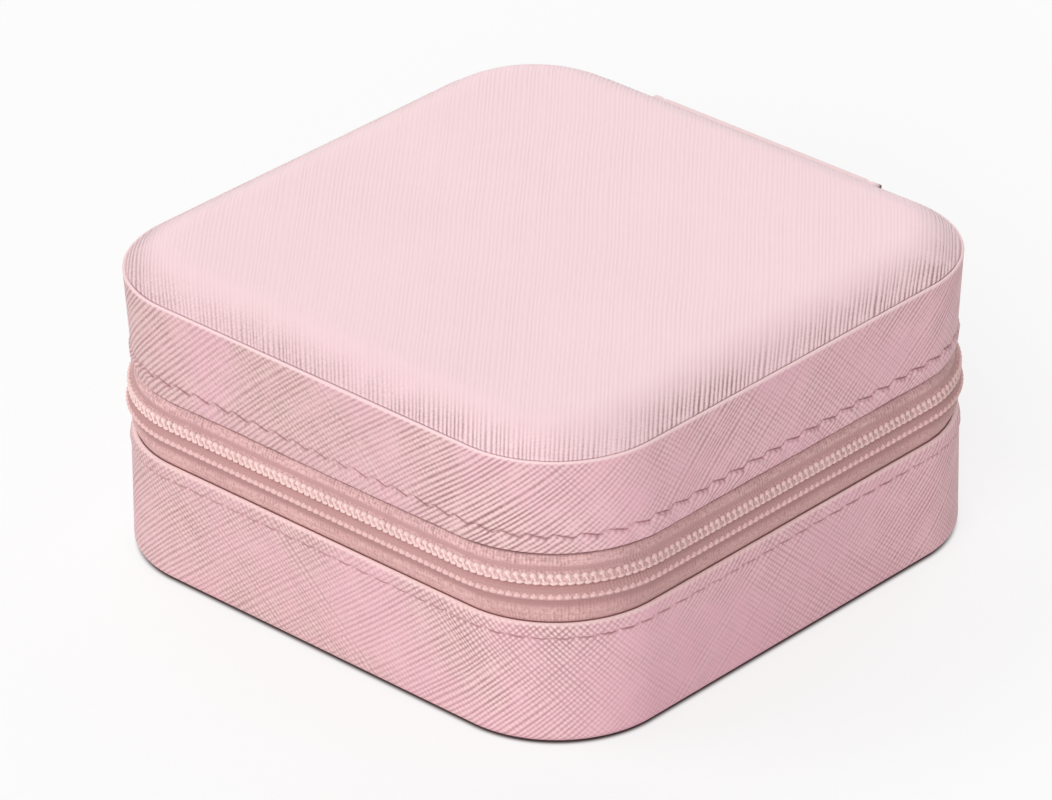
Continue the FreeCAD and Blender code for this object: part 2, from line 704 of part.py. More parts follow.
def zip_stop(label, side):
    """A clip pinched over one tape's edge, where the slider comes to rest."""
    body = new_body(label)

    def level(distance):
        return f"{ZIP_MID} {side} ({distance})"

    def out(distance):
        return f"-(dims.case_width / 2 + {distance})"

    play = "dims.glue_gap"
    outer_slot = f"(dims.zip_bulge + {play})"
    inner_slot = f"(dims.zip_bulge - dims.tape_thickness - {play})"
    bite = level("dims.crest_half - dims.glue_gap")
    web = level(f"dims.parted_half - {play}")
    tip = level(f"dims.parted_half - {play} - dims.stop_wall")
    corners = [
        (out(f"{inner_slot} - dims.stop_wall"), bite),
        (out(f"{inner_slot} - dims.stop_wall"), tip),
        (out(f"{outer_slot} + dims.stop_wall"), tip),
        (out(f"{outer_slot} + dims.stop_wall"), bite),
        (out(outer_slot), bite),
        (out(outer_slot), web),
        (out(inner_slot), web),
        (out(inner_slot), bite),
    ]
    sketch = sketch_on(body, "XZ_Plane", f"-{STOP_START}")
    polygon(sketch, corners)
    pad(body, sketch, "dims.stop_length", reversed_way=True)


def on_left_side(body, height):
    """Sets a piece drawn flat (nose along X, outward along Z) on the left side, at the zip's middle."""
    vector = FreeCAD.Vector
    turn = FreeCAD.Rotation(vector(0, 1, 0), vector(0, 0, -1), vector(-1, 0, 0), "XYZ")
    body.Placement = FreeCAD.Placement(vector(0, 0, 0), turn)
    body.setExpression("Placement.Base.x", f"-dims.case_width / 2 - {height}")
    body.setExpression("Placement.Base.y", SLIDER_MID)
    body.setExpression("Placement.Base.z", ZIP_MID)


def slider_plate(body, foot):
    """One plate of the slider: a narrow tail, shoulders and a blunt nose."""
    half = "dims.slider_length / 2"
    tail = "dims.slider_tail_width / 2"
    nose = "dims.slider_nose_width / 2"
    shoulder = f"{half} - dims.slider_nose_length"
    blunt = "dims.slider_blunt_width / 2"
    upper = [(f"-{half}", tail), ("-dims.slider_waist", tail), (shoulder, nose), (half, blunt)]
    lower = [(x, f"-{y}") for x, y in reversed(upper)]
    sketch = sketch_on(body, "XY_Plane", foot)
    polygon(sketch, lower + upper)
    pad(body, sketch, "dims.slider_plate")


def inner_rails(body):
    """Two low rails on the inner plate that keep the coils between them."""
    tail_end = "-dims.slider_length / 2"
    rail_end = "-dims.slider_waist"
    outside = "dims.slider_tail_width / 2"
    inside = "(dims.coil_back + dims.fit_gap)"
    sketch = sketch_on(body, "XY_Plane", f"{INNER_PLATE} + dims.slider_plate")
    rectangle(sketch, tail_end, inside, rail_end, outside)
    rectangle(sketch, tail_end, f"-{outside}", rail_end, f"-{inside}")
    pad(body, sketch, "dims.slider_rail")


def parting_post(body):
    """The wedge between the plates, at the nose, that spreads the two tapes."""
    end = "(dims.post_start + dims.post_length)"
    widest = f"({end} - dims.post_nose_length)"
    half = "(dims.parted_half - dims.fit_gap)"
    blunt = "dims.post_nose_width / 2"
    corners = [
        ("dims.post_start", "0"),
        (widest, f"-{half}"),
        (end, f"-{blunt}"),
        (end, blunt),
        (widest, half),
    ]
    foot = f"({INNER_PLATE} + dims.slider_plate)"
    sketch = sketch_on(body, "XY_Plane", foot)
    polygon(sketch, corners)
    pad(body, sketch, f"{OUTER_PLATE} - {foot}")


def bridge(body):
    """The arch on the outer plate that the pull tab's bar turns under."""
    half = "dims.bridge_length / 2"
    inner = f"({half} - dims.bridge_bar - dims.glue_gap)"
    foot = BRIDGE_FOOT
    top = f"({foot} + dims.bridge_height)"
    window = f"({foot} + {BRIDGE_WINDOW})"
    shoulder = f"({top} - dims.bridge_bar)"
    sketch = sketch_on(body, "XZ_Plane")
    corners = [
        (f"-{half}", foot),
        (f"-{half}", shoulder),
        (f"-({half} - dims.bridge_bar)", top),
        (f"{half} - dims.bridge_bar", top),
        (half, shoulder),
        (half, foot),
        (inner, foot),
        (inner, window),
        (f"-{inner}", window),
        (f"-{inner}", foot),
    ]
    polygon(sketch, corners)
    pad(body, sketch, "dims.bridge_width", midplane=True)


def zip_slider():
    """The slider: two plates joined by the parting post, with rails inside and a bridge for the pull."""
    body = new_body("zip_slider")
    slider_plate(body, INNER_PLATE)
    inner_rails(body)
    parting_post(body)
    slider_plate(body, OUTER_PLATE)
    fillet(body, "dims.slider_round", level_edges(BRIDGE_FOOT))
    bridge(body)
    on_left_side(body, "0")


def pull_tab():
    """A flat drop-shaped pull whose eye goes round the bridge's leg and whose bar turns under the bridge."""
    body = new_body("pull_tab")
    bar = sketch_on(body, "XZ_Plane")
    radius = number("dims.pull_bar_radius")
    circle = Part.Circle(FreeCAD.Vector(0, 0, 0), FreeCAD.Vector(0, 0, 1), radius)
    index = bar.addGeometry(circle, False)
    bar.addConstraint(Sketcher.Constraint("Coincident", index, 3, -1, 1))
    bind(bar, Sketcher.Constraint("Radius", index, radius), "dims.pull_bar_radius")
    pad(body, bar, "dims.pull_eye_width", midplane=True)
    blade = sketch_on(body, "XY_Plane", "-dims.pull_thickness / 2")
    upper = [
        ("0", "dims.pull_eye_width / 2"),
        ("-dims.pull_neck_reach", "dims.pull_neck_width / 2"),
        ("-(dims.pull_length - dims.pull_tip_length)", "dims.pull_tip_width / 2"),
        ("-dims.pull_length", "dims.pull_end_width / 2"),
    ]
    lower = [(x, f"-{y}") for x, y in reversed(upper)]
    polygon(blade, upper + lower)
    hole_end = "(dims.bridge_length / 2 + dims.bridge_bar + dims.fit_gap)"
    hole_half = "(dims.bridge_width / 2 + 2 * dims.fit_gap)"
    rectangle(blade, f"-{hole_end}", f"-{hole_half}", "-dims.pull_bar_radius", hole_half)
    pad(body, blade, "dims.pull_thickness")
    upright = number("dims.pull_thickness") - 1e-6
    neck = number("-dims.pull_neck_reach")
    fillet(
        body,
        "dims.pull_round",
        lambda e: e.BoundBox.ZLength > upright and e.BoundBox.XMax < neck - 1e-6,
    )
    on_left_side(body, PULL_AXIS)


def hinge():
    """The leather panel across the back, turned over the lid's lip and creased to fold, and its gusset."""
    panel = new_body("hinge_leather")
    sketch = sketch_on(panel, "XZ_Plane", "-dims.case_depth / 2")
    half = "dims.hinge_width / 2"
    head = f"({SEAM} + dims.leather_thickness)"
    rectangle(sketch, f"-{half}", "dims.hinge_foot", half, head)
    pad(panel, sketch, "dims.leather_thickness", reversed_way=True)
    skin = number("dims.leather_thickness")
    middle = number(ZIP_MID)
    fillet(
        panel,
        "dims.hinge_corner",
        lambda e: abs(e.BoundBox.YLength - skin) < 1e-6 and e.BoundBox.ZMax < middle,
    )
    turn = sketch_on(panel, "XY_Plane", SEAM)
    rectangle(turn, f"-{half}", "dims.case_depth / 2 - dims.leather_thickness", half, "dims.case_depth / 2")
    pad(panel, turn, "dims.leather_thickness")
    top = number(head)
    outside = number("dims.case_depth / 2 + dims.leather_thickness")
    chamfer(
        panel,
        "dims.edge_bevel",
        lambda e: abs(e.BoundBox.ZMin - top) < 1e-6 and abs(e.BoundBox.YMin - outside) < 1e-6,
    )
    crease = sketch_on(panel, "YZ_Plane")
    centre = FreeCAD.Vector(number("dims.case_depth / 2"), number(ZIP_MID), 0)
    radius = number("dims.hinge_crease")
    index = crease.addGeometry(Part.Circle(centre, FreeCAD.Vector(0, 0, 1), radius), False)
    bind(crease, Sketcher.Constraint("Radius", index, radius), "dims.hinge_crease")
    place_point(crease, index, 3, "dims.case_depth / 2", ZIP_MID)
    pocket(panel, crease, "2 * dims.hinge_width", midplane=True)
    gusset = new_body("hinge_gusset")
    strip = sketch_on(gusset, "XZ_Plane", f"-(dims.case_depth / 2 - {TAPE_IN})")
    reach = "(dims.zip_gap / 2 + dims.tape_hem)"
    side = f"({half} - dims.fit_gap)"
    rectangle(strip, f"-{side}", f"{ZIP_MID} - {reach}", side, f"{ZIP_MID} + {reach}")
    pad(gusset, strip, "dims.tape_thickness", reversed_way=True)


def build():
    """Makes every sub-part of the case."""
    fill_sheet()
    base_leather()
    base_boards()
    base_lining()
    ring_rolls()
    dividers()
    lid_leather()
    lid_boards()
    lid_lining()
    mirror()
    zip_tape("zip_tape_lower", "-")
    zip_tape("zip_tape_upper", "+")
    zip_coil("zip_coil_lower", "-", 0.0)
    zip_coil("zip_coil_upper", "+", 0.5)
    zip_stop("zip_stop_lower", "-")
    zip_stop("zip_stop_upper", "+")
    zip_slider()
    pull_tab()
    hinge()
    doc.recompute()


def check():
    """Stops before anything is written if an object failed or a sub-part isn't sound."""
    for thing in doc.Objects:
        if {"Invalid", "Error"} & set(thing.State):
            raise RuntimeError(f"{thing.Label} failed: {thing.State}")
    for piece in sub_parts:
        shape = piece.Shape
        if shape.isNull() or not shape.isValid() or not shape.Solids:
            raise RuntimeError(f"{piece.Label} has no sound solid")


def write():
    """Writes one STEP file a sub-part."""
    os.makedirs("parts", exist_ok=True)
    for piece in sub_parts:
        piece.Shape.exportStep(f"parts/{piece.Label}.step")


build()
check()
write()
for made in sub_parts:
    print(f"{made.Label}: {len(made.Shape.Solids)} solid, {made.Shape.Volume:.1f} mm3")
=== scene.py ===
"""Looks of a small zip-round jewellery case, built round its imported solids.

Lengths are millimetres in the frame of the solids. A mesh is scaled to metres as it is made.
"""

import logging
import math
from collections.abc import Callable, Sequence
from dataclasses import dataclass, field, replace
from enum import Enum

import bpy
import numpy as np
from mathutils import Matrix


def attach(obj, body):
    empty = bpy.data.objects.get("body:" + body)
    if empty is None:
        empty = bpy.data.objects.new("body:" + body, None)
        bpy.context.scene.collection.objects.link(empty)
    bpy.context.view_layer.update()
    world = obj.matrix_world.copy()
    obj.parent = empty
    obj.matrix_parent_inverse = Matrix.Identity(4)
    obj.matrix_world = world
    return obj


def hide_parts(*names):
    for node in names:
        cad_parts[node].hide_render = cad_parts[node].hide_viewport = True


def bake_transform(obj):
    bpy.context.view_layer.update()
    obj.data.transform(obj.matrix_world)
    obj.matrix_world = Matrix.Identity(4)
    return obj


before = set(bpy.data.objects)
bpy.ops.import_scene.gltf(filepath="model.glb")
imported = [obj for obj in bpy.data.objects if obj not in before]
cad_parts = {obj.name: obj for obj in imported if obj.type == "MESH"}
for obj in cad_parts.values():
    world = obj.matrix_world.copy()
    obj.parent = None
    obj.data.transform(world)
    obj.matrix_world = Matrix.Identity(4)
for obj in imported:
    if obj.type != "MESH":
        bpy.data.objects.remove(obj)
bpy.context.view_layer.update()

LOG = logging.getLogger("jewellery_case")
MM = 0.001
PHOTO_WIDTH = 1052
PHOTO_HEIGHT = 800
GRAIN_MAP = "grain"
ARC_STEPS = 5
# Smallest corner radius of a ring inside an outline, and the smallest share that rings further in shrink to.
TIGHTEST = 4.0
INNERMOST = 0.02
Array = np.ndarray
Colour = tuple[float, float, float, float]
Value = float | Colour | bpy.types.NodeSocket
Sockets = dict[str, bpy.types.NodeSocket]


class Body(Enum):
    """The bodies that new pieces ride on."""

    BASE = "base"
    LID = "lid"


class Slot(Enum):
    """Material slots."""

    LEATHER = "leather_pink"
    PALE_LEATHER = "leather_pale"
    BOARD = "board"
    VELVET = "velvet"
    TAPE = "zip_tape"
    COIL = "zip_coil"
    METAL = "slider_metal"
    MIRROR = "mirror"


class ZipHalf(Enum):
    """The two halves of the zip, each with its direction from the chain."""

    LOWER = -1
    UPPER = 1


def smooth(value: Array, low: float, high: float) -> Array:
    """Eases from 0 at low to 1 at high."""
    t = np.clip((np.asarray(value, float) - low) / (high - low), 0.0, 1.0)
    return t * t * (3.0 - 2.0 * t)


def bell(value: Array, width: float) -> Array:
    """A bump of height 1 at zero, about width wide to each side."""
    return np.exp(-((np.asarray(value, float) / width) ** 2))


def ripple(along: Array, across: Array, seed: int, size: float) -> Array:
    """Slow hand-made unevenness between about -1 and 1.

    Args:
        along: places along the piece.
        across: places across it, of a shape that broadcasts with along.
        seed: picks the waves.
        size: length of a typical wave.

    Returns:
        The unevenness at each place.
    """
    draw = np.random.default_rng(seed)
    total = 0.0
    for _ in range(6):
        angle, phase = draw.uniform(0.0, 2.0 * math.pi, 2)
        wave = 2.0 * math.pi / (size * draw.uniform(0.7, 1.6))
        total = total + np.sin(wave * (along * math.cos(angle) + across * math.sin(angle)) + phase)
    return total / 3.0


@dataclass(frozen=True)
class Outline:
    """A rounded-square plan, walked from the middle of the back, anticlockwise seen from above.

    Attributes:
        half: half the width.
        radius: corner radius.
        tight: pairs of a height and how much tighter the corners are there.
    """

    half: float = 50.0
    radius: float = 20.5
    tight: tuple[tuple[float, float], ...] = ((0.0, 0.0),)

    @property
    def straight(self) -> float:
        """Half the straight run of a side."""
        return self.half - self.radius

    @property
    def quarter(self) -> float:
        """Length of one corner."""
        return 0.5 * math.pi * self.radius

    @property
    def side(self) -> float:
        """Length from the middle of one side to the middle of the next."""
        return 2.0 * self.straight + self.quarter

    @property
    def length(self) -> float:
        """Length all the way round."""
        return 8.0 * self.straight + 4.0 * self.quarter

    @property
    def deepest(self) -> float:
        """Outward place of the innermost ring that keeps its rounded corners."""
        return TIGHTEST - self.radius

    def walk(self, s: Array, tight: Array | float = 0.0) -> tuple[Array, Array]:
        """Finds the plan at lengths along it.

        Args:
            s: lengths from the middle of the back.
            tight: how much tighter the corners are.

        Returns:
            The points and the outward directions there, each with two columns.
        """
        s = np.mod(np.asarray(s, float), self.length)
        turn = np.floor(s / self.side)
        t = s - turn * self.side
        arc = np.clip((t - self.straight) / self.radius, 0.0, 0.5 * math.pi)
        before = np.minimum(t, self.straight)
        after = np.maximum(t - self.straight - self.quarter, 0.0)
        radius = self.radius - tight
        point = np.stack(
            [
                -before - radius * np.sin(arc) - tight * before / self.straight,
                self.straight + tight + radius * np.cos(arc) - after * (1.0 + tight / self.straight),
            ],
            -1,
        )
        outward = np.stack([-np.sin(arc), np.cos(arc)], -1)
        angle = turn * 0.5 * math.pi
        c, d = np.cos(angle), np.sin(angle)
        spin = np.stack([np.stack([c, -d], -1), np.stack([d, c], -1)], -2)
        return (spin @ point[..., None])[..., 0], (spin @ outward[..., None])[..., 0]

    def place(self, s: Array, n: Array, z: Array) -> Array:
        """Turns places on the wall into points.

        Args:
            s: lengths along the plan.
            n: outward distances, which broadcast with the lengths.
            z: heights, which broadcast too.

        Returns:
            The points, with three columns.
        """
        s, n, z = np.broadcast_arrays(np.asarray(s, float), n, z)
        heights, amounts = zip(*self.tight)
        point, outward = self.walk(s, np.interp(z, heights, amounts))
        return np.concatenate([point + n[..., None] * outward, z[..., None]], -1)

    def outward(self, s: Array) -> Array:
        """Level directions out of the wall at lengths along the plan, with three columns."""
        return np.concatenate([self.walk(s)[1], np.zeros(s.shape + (1,))], -1)

    def shrink(self, n: Array) -> Array:
        """Share of the size of the deepest rounded ring that rings at these outward places have."""
        return np.clip((self.half + n) / (self.half + self.deepest), INNERMOST, 1.0)

    def even(self, step: float) -> Array:
        """Evenly spaced lengths for a closed walk round the plan."""
        return np.linspace(0.0, self.length, int(round(self.length / step)), endpoint=False)

    def matched(self, per_side: int, per_corner: int) -> Array:
        """Lengths that fall on the same sides and corners whatever the outline's size.

        Args:
            per_side: points on half a straight side.
            per_corner: points on a corner.

        Returns:
            The lengths, all the way round.
        """
        leg = np.concatenate(
            [
                np.linspace(0.0, self.straight, per_side, endpoint=False),
                self.straight + np.linspace(0.0, self.quarter, per_corner, endpoint=False),
                self.straight + self.quarter + np.linspace(0.0, self.straight, per_side, endpoint=False),
            ]
        )
        return np.concatenate([leg + k * self.side for k in range(4)])


# The leather's outside, whose corners tighten with height, and the plan that the linings follow.
CASE = Outline(
    tight=((0.0, 1.75), (1.5, 1.75), (21.5, 1.2), (26.5, 0.2), (31.5, -0.3), (47.0, 1.7), (51.0, 2.6))
)
INSIDE = Outline()


@dataclass(frozen=True)
class Corner:
    """One corner of a section through a wall.

    Attributes:
        n: place outward from the face of the leather.
        z: height.
        radius: rounding.
        step: spacing of the points from here to the next corner.
    """

    n: float
    z: float
    radius: float = 0.0
    step: float = 2.0


def section(corners: Sequence[Corner]) -> Array:
    """Rounds the corners of a closed section and divides its runs.

    Args:
        corners: the section's corners, up the outside and down the inside.

    Returns:
        Points of n and z round the section.
    """
    spots = [np.array([corner.n, corner.z]) for corner in corners]
    arcs = []
    for k, (corner, here) in enumerate(zip(corners, spots)):
        back, ahead = spots[k - 1] - here, spots[(k + 1) % len(spots)] - here
        back, ahead = back / np.linalg.norm(back), ahead / np.linalg.norm(ahead)
        if corner.radius == 0.0:
            arcs.append(here[None])
            continue
        half = 0.5 * math.acos(float(np.clip(back @ ahead, -1.0, 1.0)))
        middle = (back + ahead) / np.linalg.norm(back + ahead)
        centre = here + middle * corner.radius / math.sin(half)
        first = here + back * corner.radius / math.tan(half)
        last = here + ahead * corner.radius / math.tan(half)
        share = np.linspace(0.0, 1.0, ARC_STEPS + 1)[:, None]
        bend = (1.0 - share) * (first - centre) + share * (last - centre)
        arcs.append(centre + corner.radius * bend / np.linalg.norm(bend, axis=1)[:, None])
    points = []
    for k, arc in enumerate(arcs):
        points.extend(arc)
        gap = arcs[(k + 1) % len(arcs)][0] - arc[-1]
        pieces = max(1, int(round(np.linalg.norm(gap) / corners[k].step)))
        points.extend(arc[-1] + gap * j / pieces for j in range(1, pieces))
    return np.array(points)


def flowing(points: Sequence[Sequence[float]], count: int) -> Array:
    """Draws a smooth line through points.

    Args:
        points: the points to pass, of any width.
        count: how many points to give back.

    Returns:
        The line's points, evenly shared between the given ones.
    """
    p = np.asarray(points, float)
    p = np.concatenate([2.0 * p[:1] - p[1:2], p, 2.0 * p[-1:] - p[-2:-1]])
    t = np.linspace(0.0, len(p) - 3.0 - 1e-9, count)
    k = t.astype(int)
    f = (t - k)[:, None]
    a, b, c, d = p[k], p[k + 1], p[k + 2], p[k + 3]
    square, cube = 2.0 * a - 5.0 * b + 4.0 * c - d, 3.0 * b - a - 3.0 * c + d
    return 0.5 * (2.0 * b + (c - a) * f + square * f**2 + cube * f**3)


def run_length(points: Array) -> Array:
    """Length from the first point to each point of a line."""
    return np.concatenate([[0.0], np.cumsum(np.linalg.norm(np.diff(points, axis=0), axis=1))])


def round_length(points: Array) -> Array:
    """Length round a closed line to each of its points, and to its first point again."""
    return run_length(np.concatenate([points, points[:1]]))


class Skin:
    """Points and faces of one piece, gathered patch by patch."""

    def __init__(self) -> None:
        """Starts with no points."""
        self.points: list[Array] = []
        self.loops: list[Array] = []
        self.sizes: list[Array] = []
        self.maps: list[Array] = []
        self.count = 0

    def join(self, faces: Array, grain: Array) -> None:
        """Adds faces of one size between points of the skin.

        Args:
            faces: corner numbers within the skin, a row for each face.
            grain: places on the flat material for each face corner.
        """
        self.loops.append(faces.ravel())
        self.sizes.append(np.full(len(faces), faces.shape[1]))
        self.maps.append(grain.reshape(-1, 2))

    def add(self, points: Array, faces: Array, grain: Array) -> None:
        """Adds points and faces of one size.

        Args:
            points: places, three columns.
            faces: corner numbers within these points, a row for each face.
            grain: places on the flat material for each face corner.
        """
        self.join(faces + self.count, grain)
        self.points.append(points.reshape(-1, 3))
        self.count += len(self.points[-1])

    def close(self, ring: Array, grain: Array, start: int) -> None:
        """Closes a ring of points, numbered from start, with one face."""
        self.join(ring[None] + start, grain)

    def cap(self, rows: int, columns: int, flat: Array, start: int = 0) -> None:
        """Closes both ends of a grid whose last row joins the first.

        Args:
            rows: the grid's rows.
            columns: its columns.
            flat: flat places round an end.
            start: number of the grid's first point.
        """
        ring = np.arange(rows) * columns
        self.close(ring, flat, start)
        self.close((ring + columns - 1)[::-1], flat[::-1], start)

    def grid(self, points: Array, grain: Array, around: bool = False, along: bool = False) -> None:
        """Adds a grid of points whose columns run right and rows up, seen from outside.

        Args:
            points: rows, columns, three.
            grain: flat places, with one more row or column than points where the grid is closed that way.
            around: whether the last row joins the first.
            along: whether the last column joins the first.
        """
        rows, columns = points.shape[:2]
        r, c = np.meshgrid(np.arange(rows - (not around)), np.arange(columns - (not along)), indexing="ij")
        r, c = r.ravel(), c.ravel()
        up, right = (r + 1) % rows, (c + 1) % columns
        faces = np.stack([r * columns + c, r * columns + right, up * columns + right, up * columns + c], 1)
        flat = np.stack([grain[r, c], grain[r, c + 1], grain[r + 1, c + 1], grain[r + 1, c]], 1)
        self.add(points, faces, flat)

    def sweep(
        self, plan: Outline, s: Array, n: Array, z: Array, lengths: Array, along: bool = True
    ) -> None:
        """Sweeps a closed wall section along an outline.

        Args:
            plan: the outline.
            s: lengths along the outline.
            n: outward place for each section point, one column or one for each length.
            z: heights in the same shape.
            lengths: length round the section at each point, with the closing one.
            along: whether the sweep goes all the way round.
        """
        u = np.append(s, plan.length) if along else s
        grain = np.stack(np.meshgrid(u, lengths), -1)
        start = self.count
        points = plan.place(s[None, :], n, z)
        self.grid(points, grain, around=True, along=along)
        if not along:
            self.cap(*points.shape[:2], np.stack([n[:, 0], z[:, 0]], -1), start)

    def tubes(self, paths: Array, across: Array, radii: Array, sides: int = 6, squash: float = 1.0) -> None:
        """Adds tubes along paths, closed at both ends.

        Args:
            paths: tubes, points, three.
            across: a direction across the path at each point.
            radii: tube radius at each point along a path.
            sides: faces round a tube.
            squash: share of the radius kept in the across direction.
        """
        tangent = np.gradient(paths, axis=1)
        tangent /= np.linalg.norm(tangent, axis=2, keepdims=True)
        wide = np.cross(tangent, across)
        wide /= np.linalg.norm(wide, axis=2, keepdims=True)
        deep = np.cross(tangent, wide)
        angle = np.linspace(0.0, 2.0 * math.pi, sides, endpoint=False)[:, None]
        ring = np.cos(angle) * wide[:, :, None] + squash * np.sin(angle) * deep[:, :, None]
        points = paths[:, :, None] + radii[None, :, None, None] * ring
        count, steps = paths.shape[:2]
        r, c = (x.ravel() for x in np.meshgrid(np.arange(steps - 1), np.arange(sides), indexing="ij"))
        right = (c + 1) % sides
        face = np.stack([r * sides + c, r * sides + right, (r + 1) * sides + right, (r + 1) * sides + c], 1)
        faces = (face[None] + np.arange(count)[:, None, None] * steps * sides).reshape(-1, 4)
        along = np.linalg.norm(np.diff(paths, axis=1), axis=2).mean()
        girth = 2.0 * math.pi * float(radii.max()) / sides
        flat = np.stack(
            [np.stack([r, r, r + 1, r + 1], 1) * along, np.stack([c, c + 1, c + 1, c], 1) * girth], -1
        )
        start = self.count
        self.add(points, faces, np.tile(flat[None], (count, 1, 1, 1)))
        ends = np.arange(sides)
        blank = np.stack([np.cos(angle[:, 0]), np.sin(angle[:, 0])], 1) * float(radii[0])
        for k in range(count):
            self.close(ends[::-1] + k * steps * sides, blank[::-1], start)
            self.close(ends + (k * steps + steps - 1) * sides, blank, start)

    def slab(self, front: Array, back: Array, grain: Array) -> None:
        """Adds a closed sheet from a front and a back grid of the same shape.

        Args:
            front: the grid seen from outside, rows up and columns right.
            back: the grid behind it.
            grain: flat places of the points.
        """
        rows, columns = front.shape[:2]
        start = self.count
        self.grid(front, grain)
        self.grid(back[:, ::-1], grain[:, ::-1])
        rim = np.concatenate(
            [
                np.arange(columns),
                np.arange(1, rows) * columns + columns - 1,
                (rows - 1) * columns + np.arange(columns - 2, -1, -1),
                np.arange(rows - 2, 0, -1) * columns,
            ]
        )
        r, c = rim // columns, rim % columns
        behind = rows * columns + r * columns + (columns - 1 - c)
        ahead, ahead_behind = np.roll(rim, -1), np.roll(behind, -1)
        faces = np.stack([rim, behind, ahead_behind, ahead], 1) + start
        self.join(faces, grain.reshape(-1, 2)[np.stack([rim, rim, ahead, ahead], 1)])

    def disc(self, outline: Outline, s: Array, n: Array, z: Array, grain: Callable[[Array], Array]) -> None:
        """Adds a closed cushion shape over the outline, ring by ring.

        The rings run from the middle of its underside to the middle of its top.

        Args:
            outline: the plan.
            s: lengths round it.
            n: outward place of each ring; rings further in than the corner radius shrink to the middle.
            z: height of each ring, or of each point of each ring.
            grain: gives flat places from points.
        """
        heights = z if np.ndim(z) == 2 else z[:, None]
        ring = outline.place(s[None, :], np.maximum(n, outline.deepest)[:, None], heights)
        ring[..., :2] *= outline.shrink(n)[:, None, None]
        wrapped = np.concatenate([ring, ring[:, :1]], 1)
        flat = grain(wrapped)
        start, columns = self.count, len(s)
        self.grid(ring, flat, along=True)
        loop = np.arange(columns)
        self.close(loop[::-1], flat[0, :-1][::-1], start)
        self.close(loop + (len(n) - 1) * columns, flat[-1, :-1], start)

    def make(self, name: str) -> bpy.types.Object:
        """Makes the piece's mesh, in metres.

        Args:
            name: the piece's name.

        Returns:
            The new object, linked to the scene.
        """
        points = np.concatenate(self.points) * MM
        loops = np.concatenate(self.loops)
        sizes = np.concatenate(self.sizes)
        starts = np.concatenate([[0], np.cumsum(sizes)[:-1]])
        mesh = bpy.data.meshes.new(name)
        mesh.vertices.add(len(points))
        mesh.vertices.foreach_set("co", points.astype(np.float32).ravel())
        mesh.loops.add(len(loops))
        mesh.loops.foreach_set("vertex_index", loops.astype(np.int32))
        mesh.polygons.add(len(sizes))
        mesh.polygons.foreach_set("loop_start", starts.astype(np.int32))
        mesh.polygons.foreach_set("use_smooth", np.ones(len(sizes), bool))
        layer = mesh.uv_layers.new(name=GRAIN_MAP)
        layer.data.foreach_set("uv", (np.concatenate(self.maps) * MM).astype(np.float32).ravel())
        mesh.update(calc_edges=True)
        mesh.validate()
        piece = bpy.data.objects.new(name, mesh)
        bpy.context.scene.collection.objects.link(piece)
        return piece


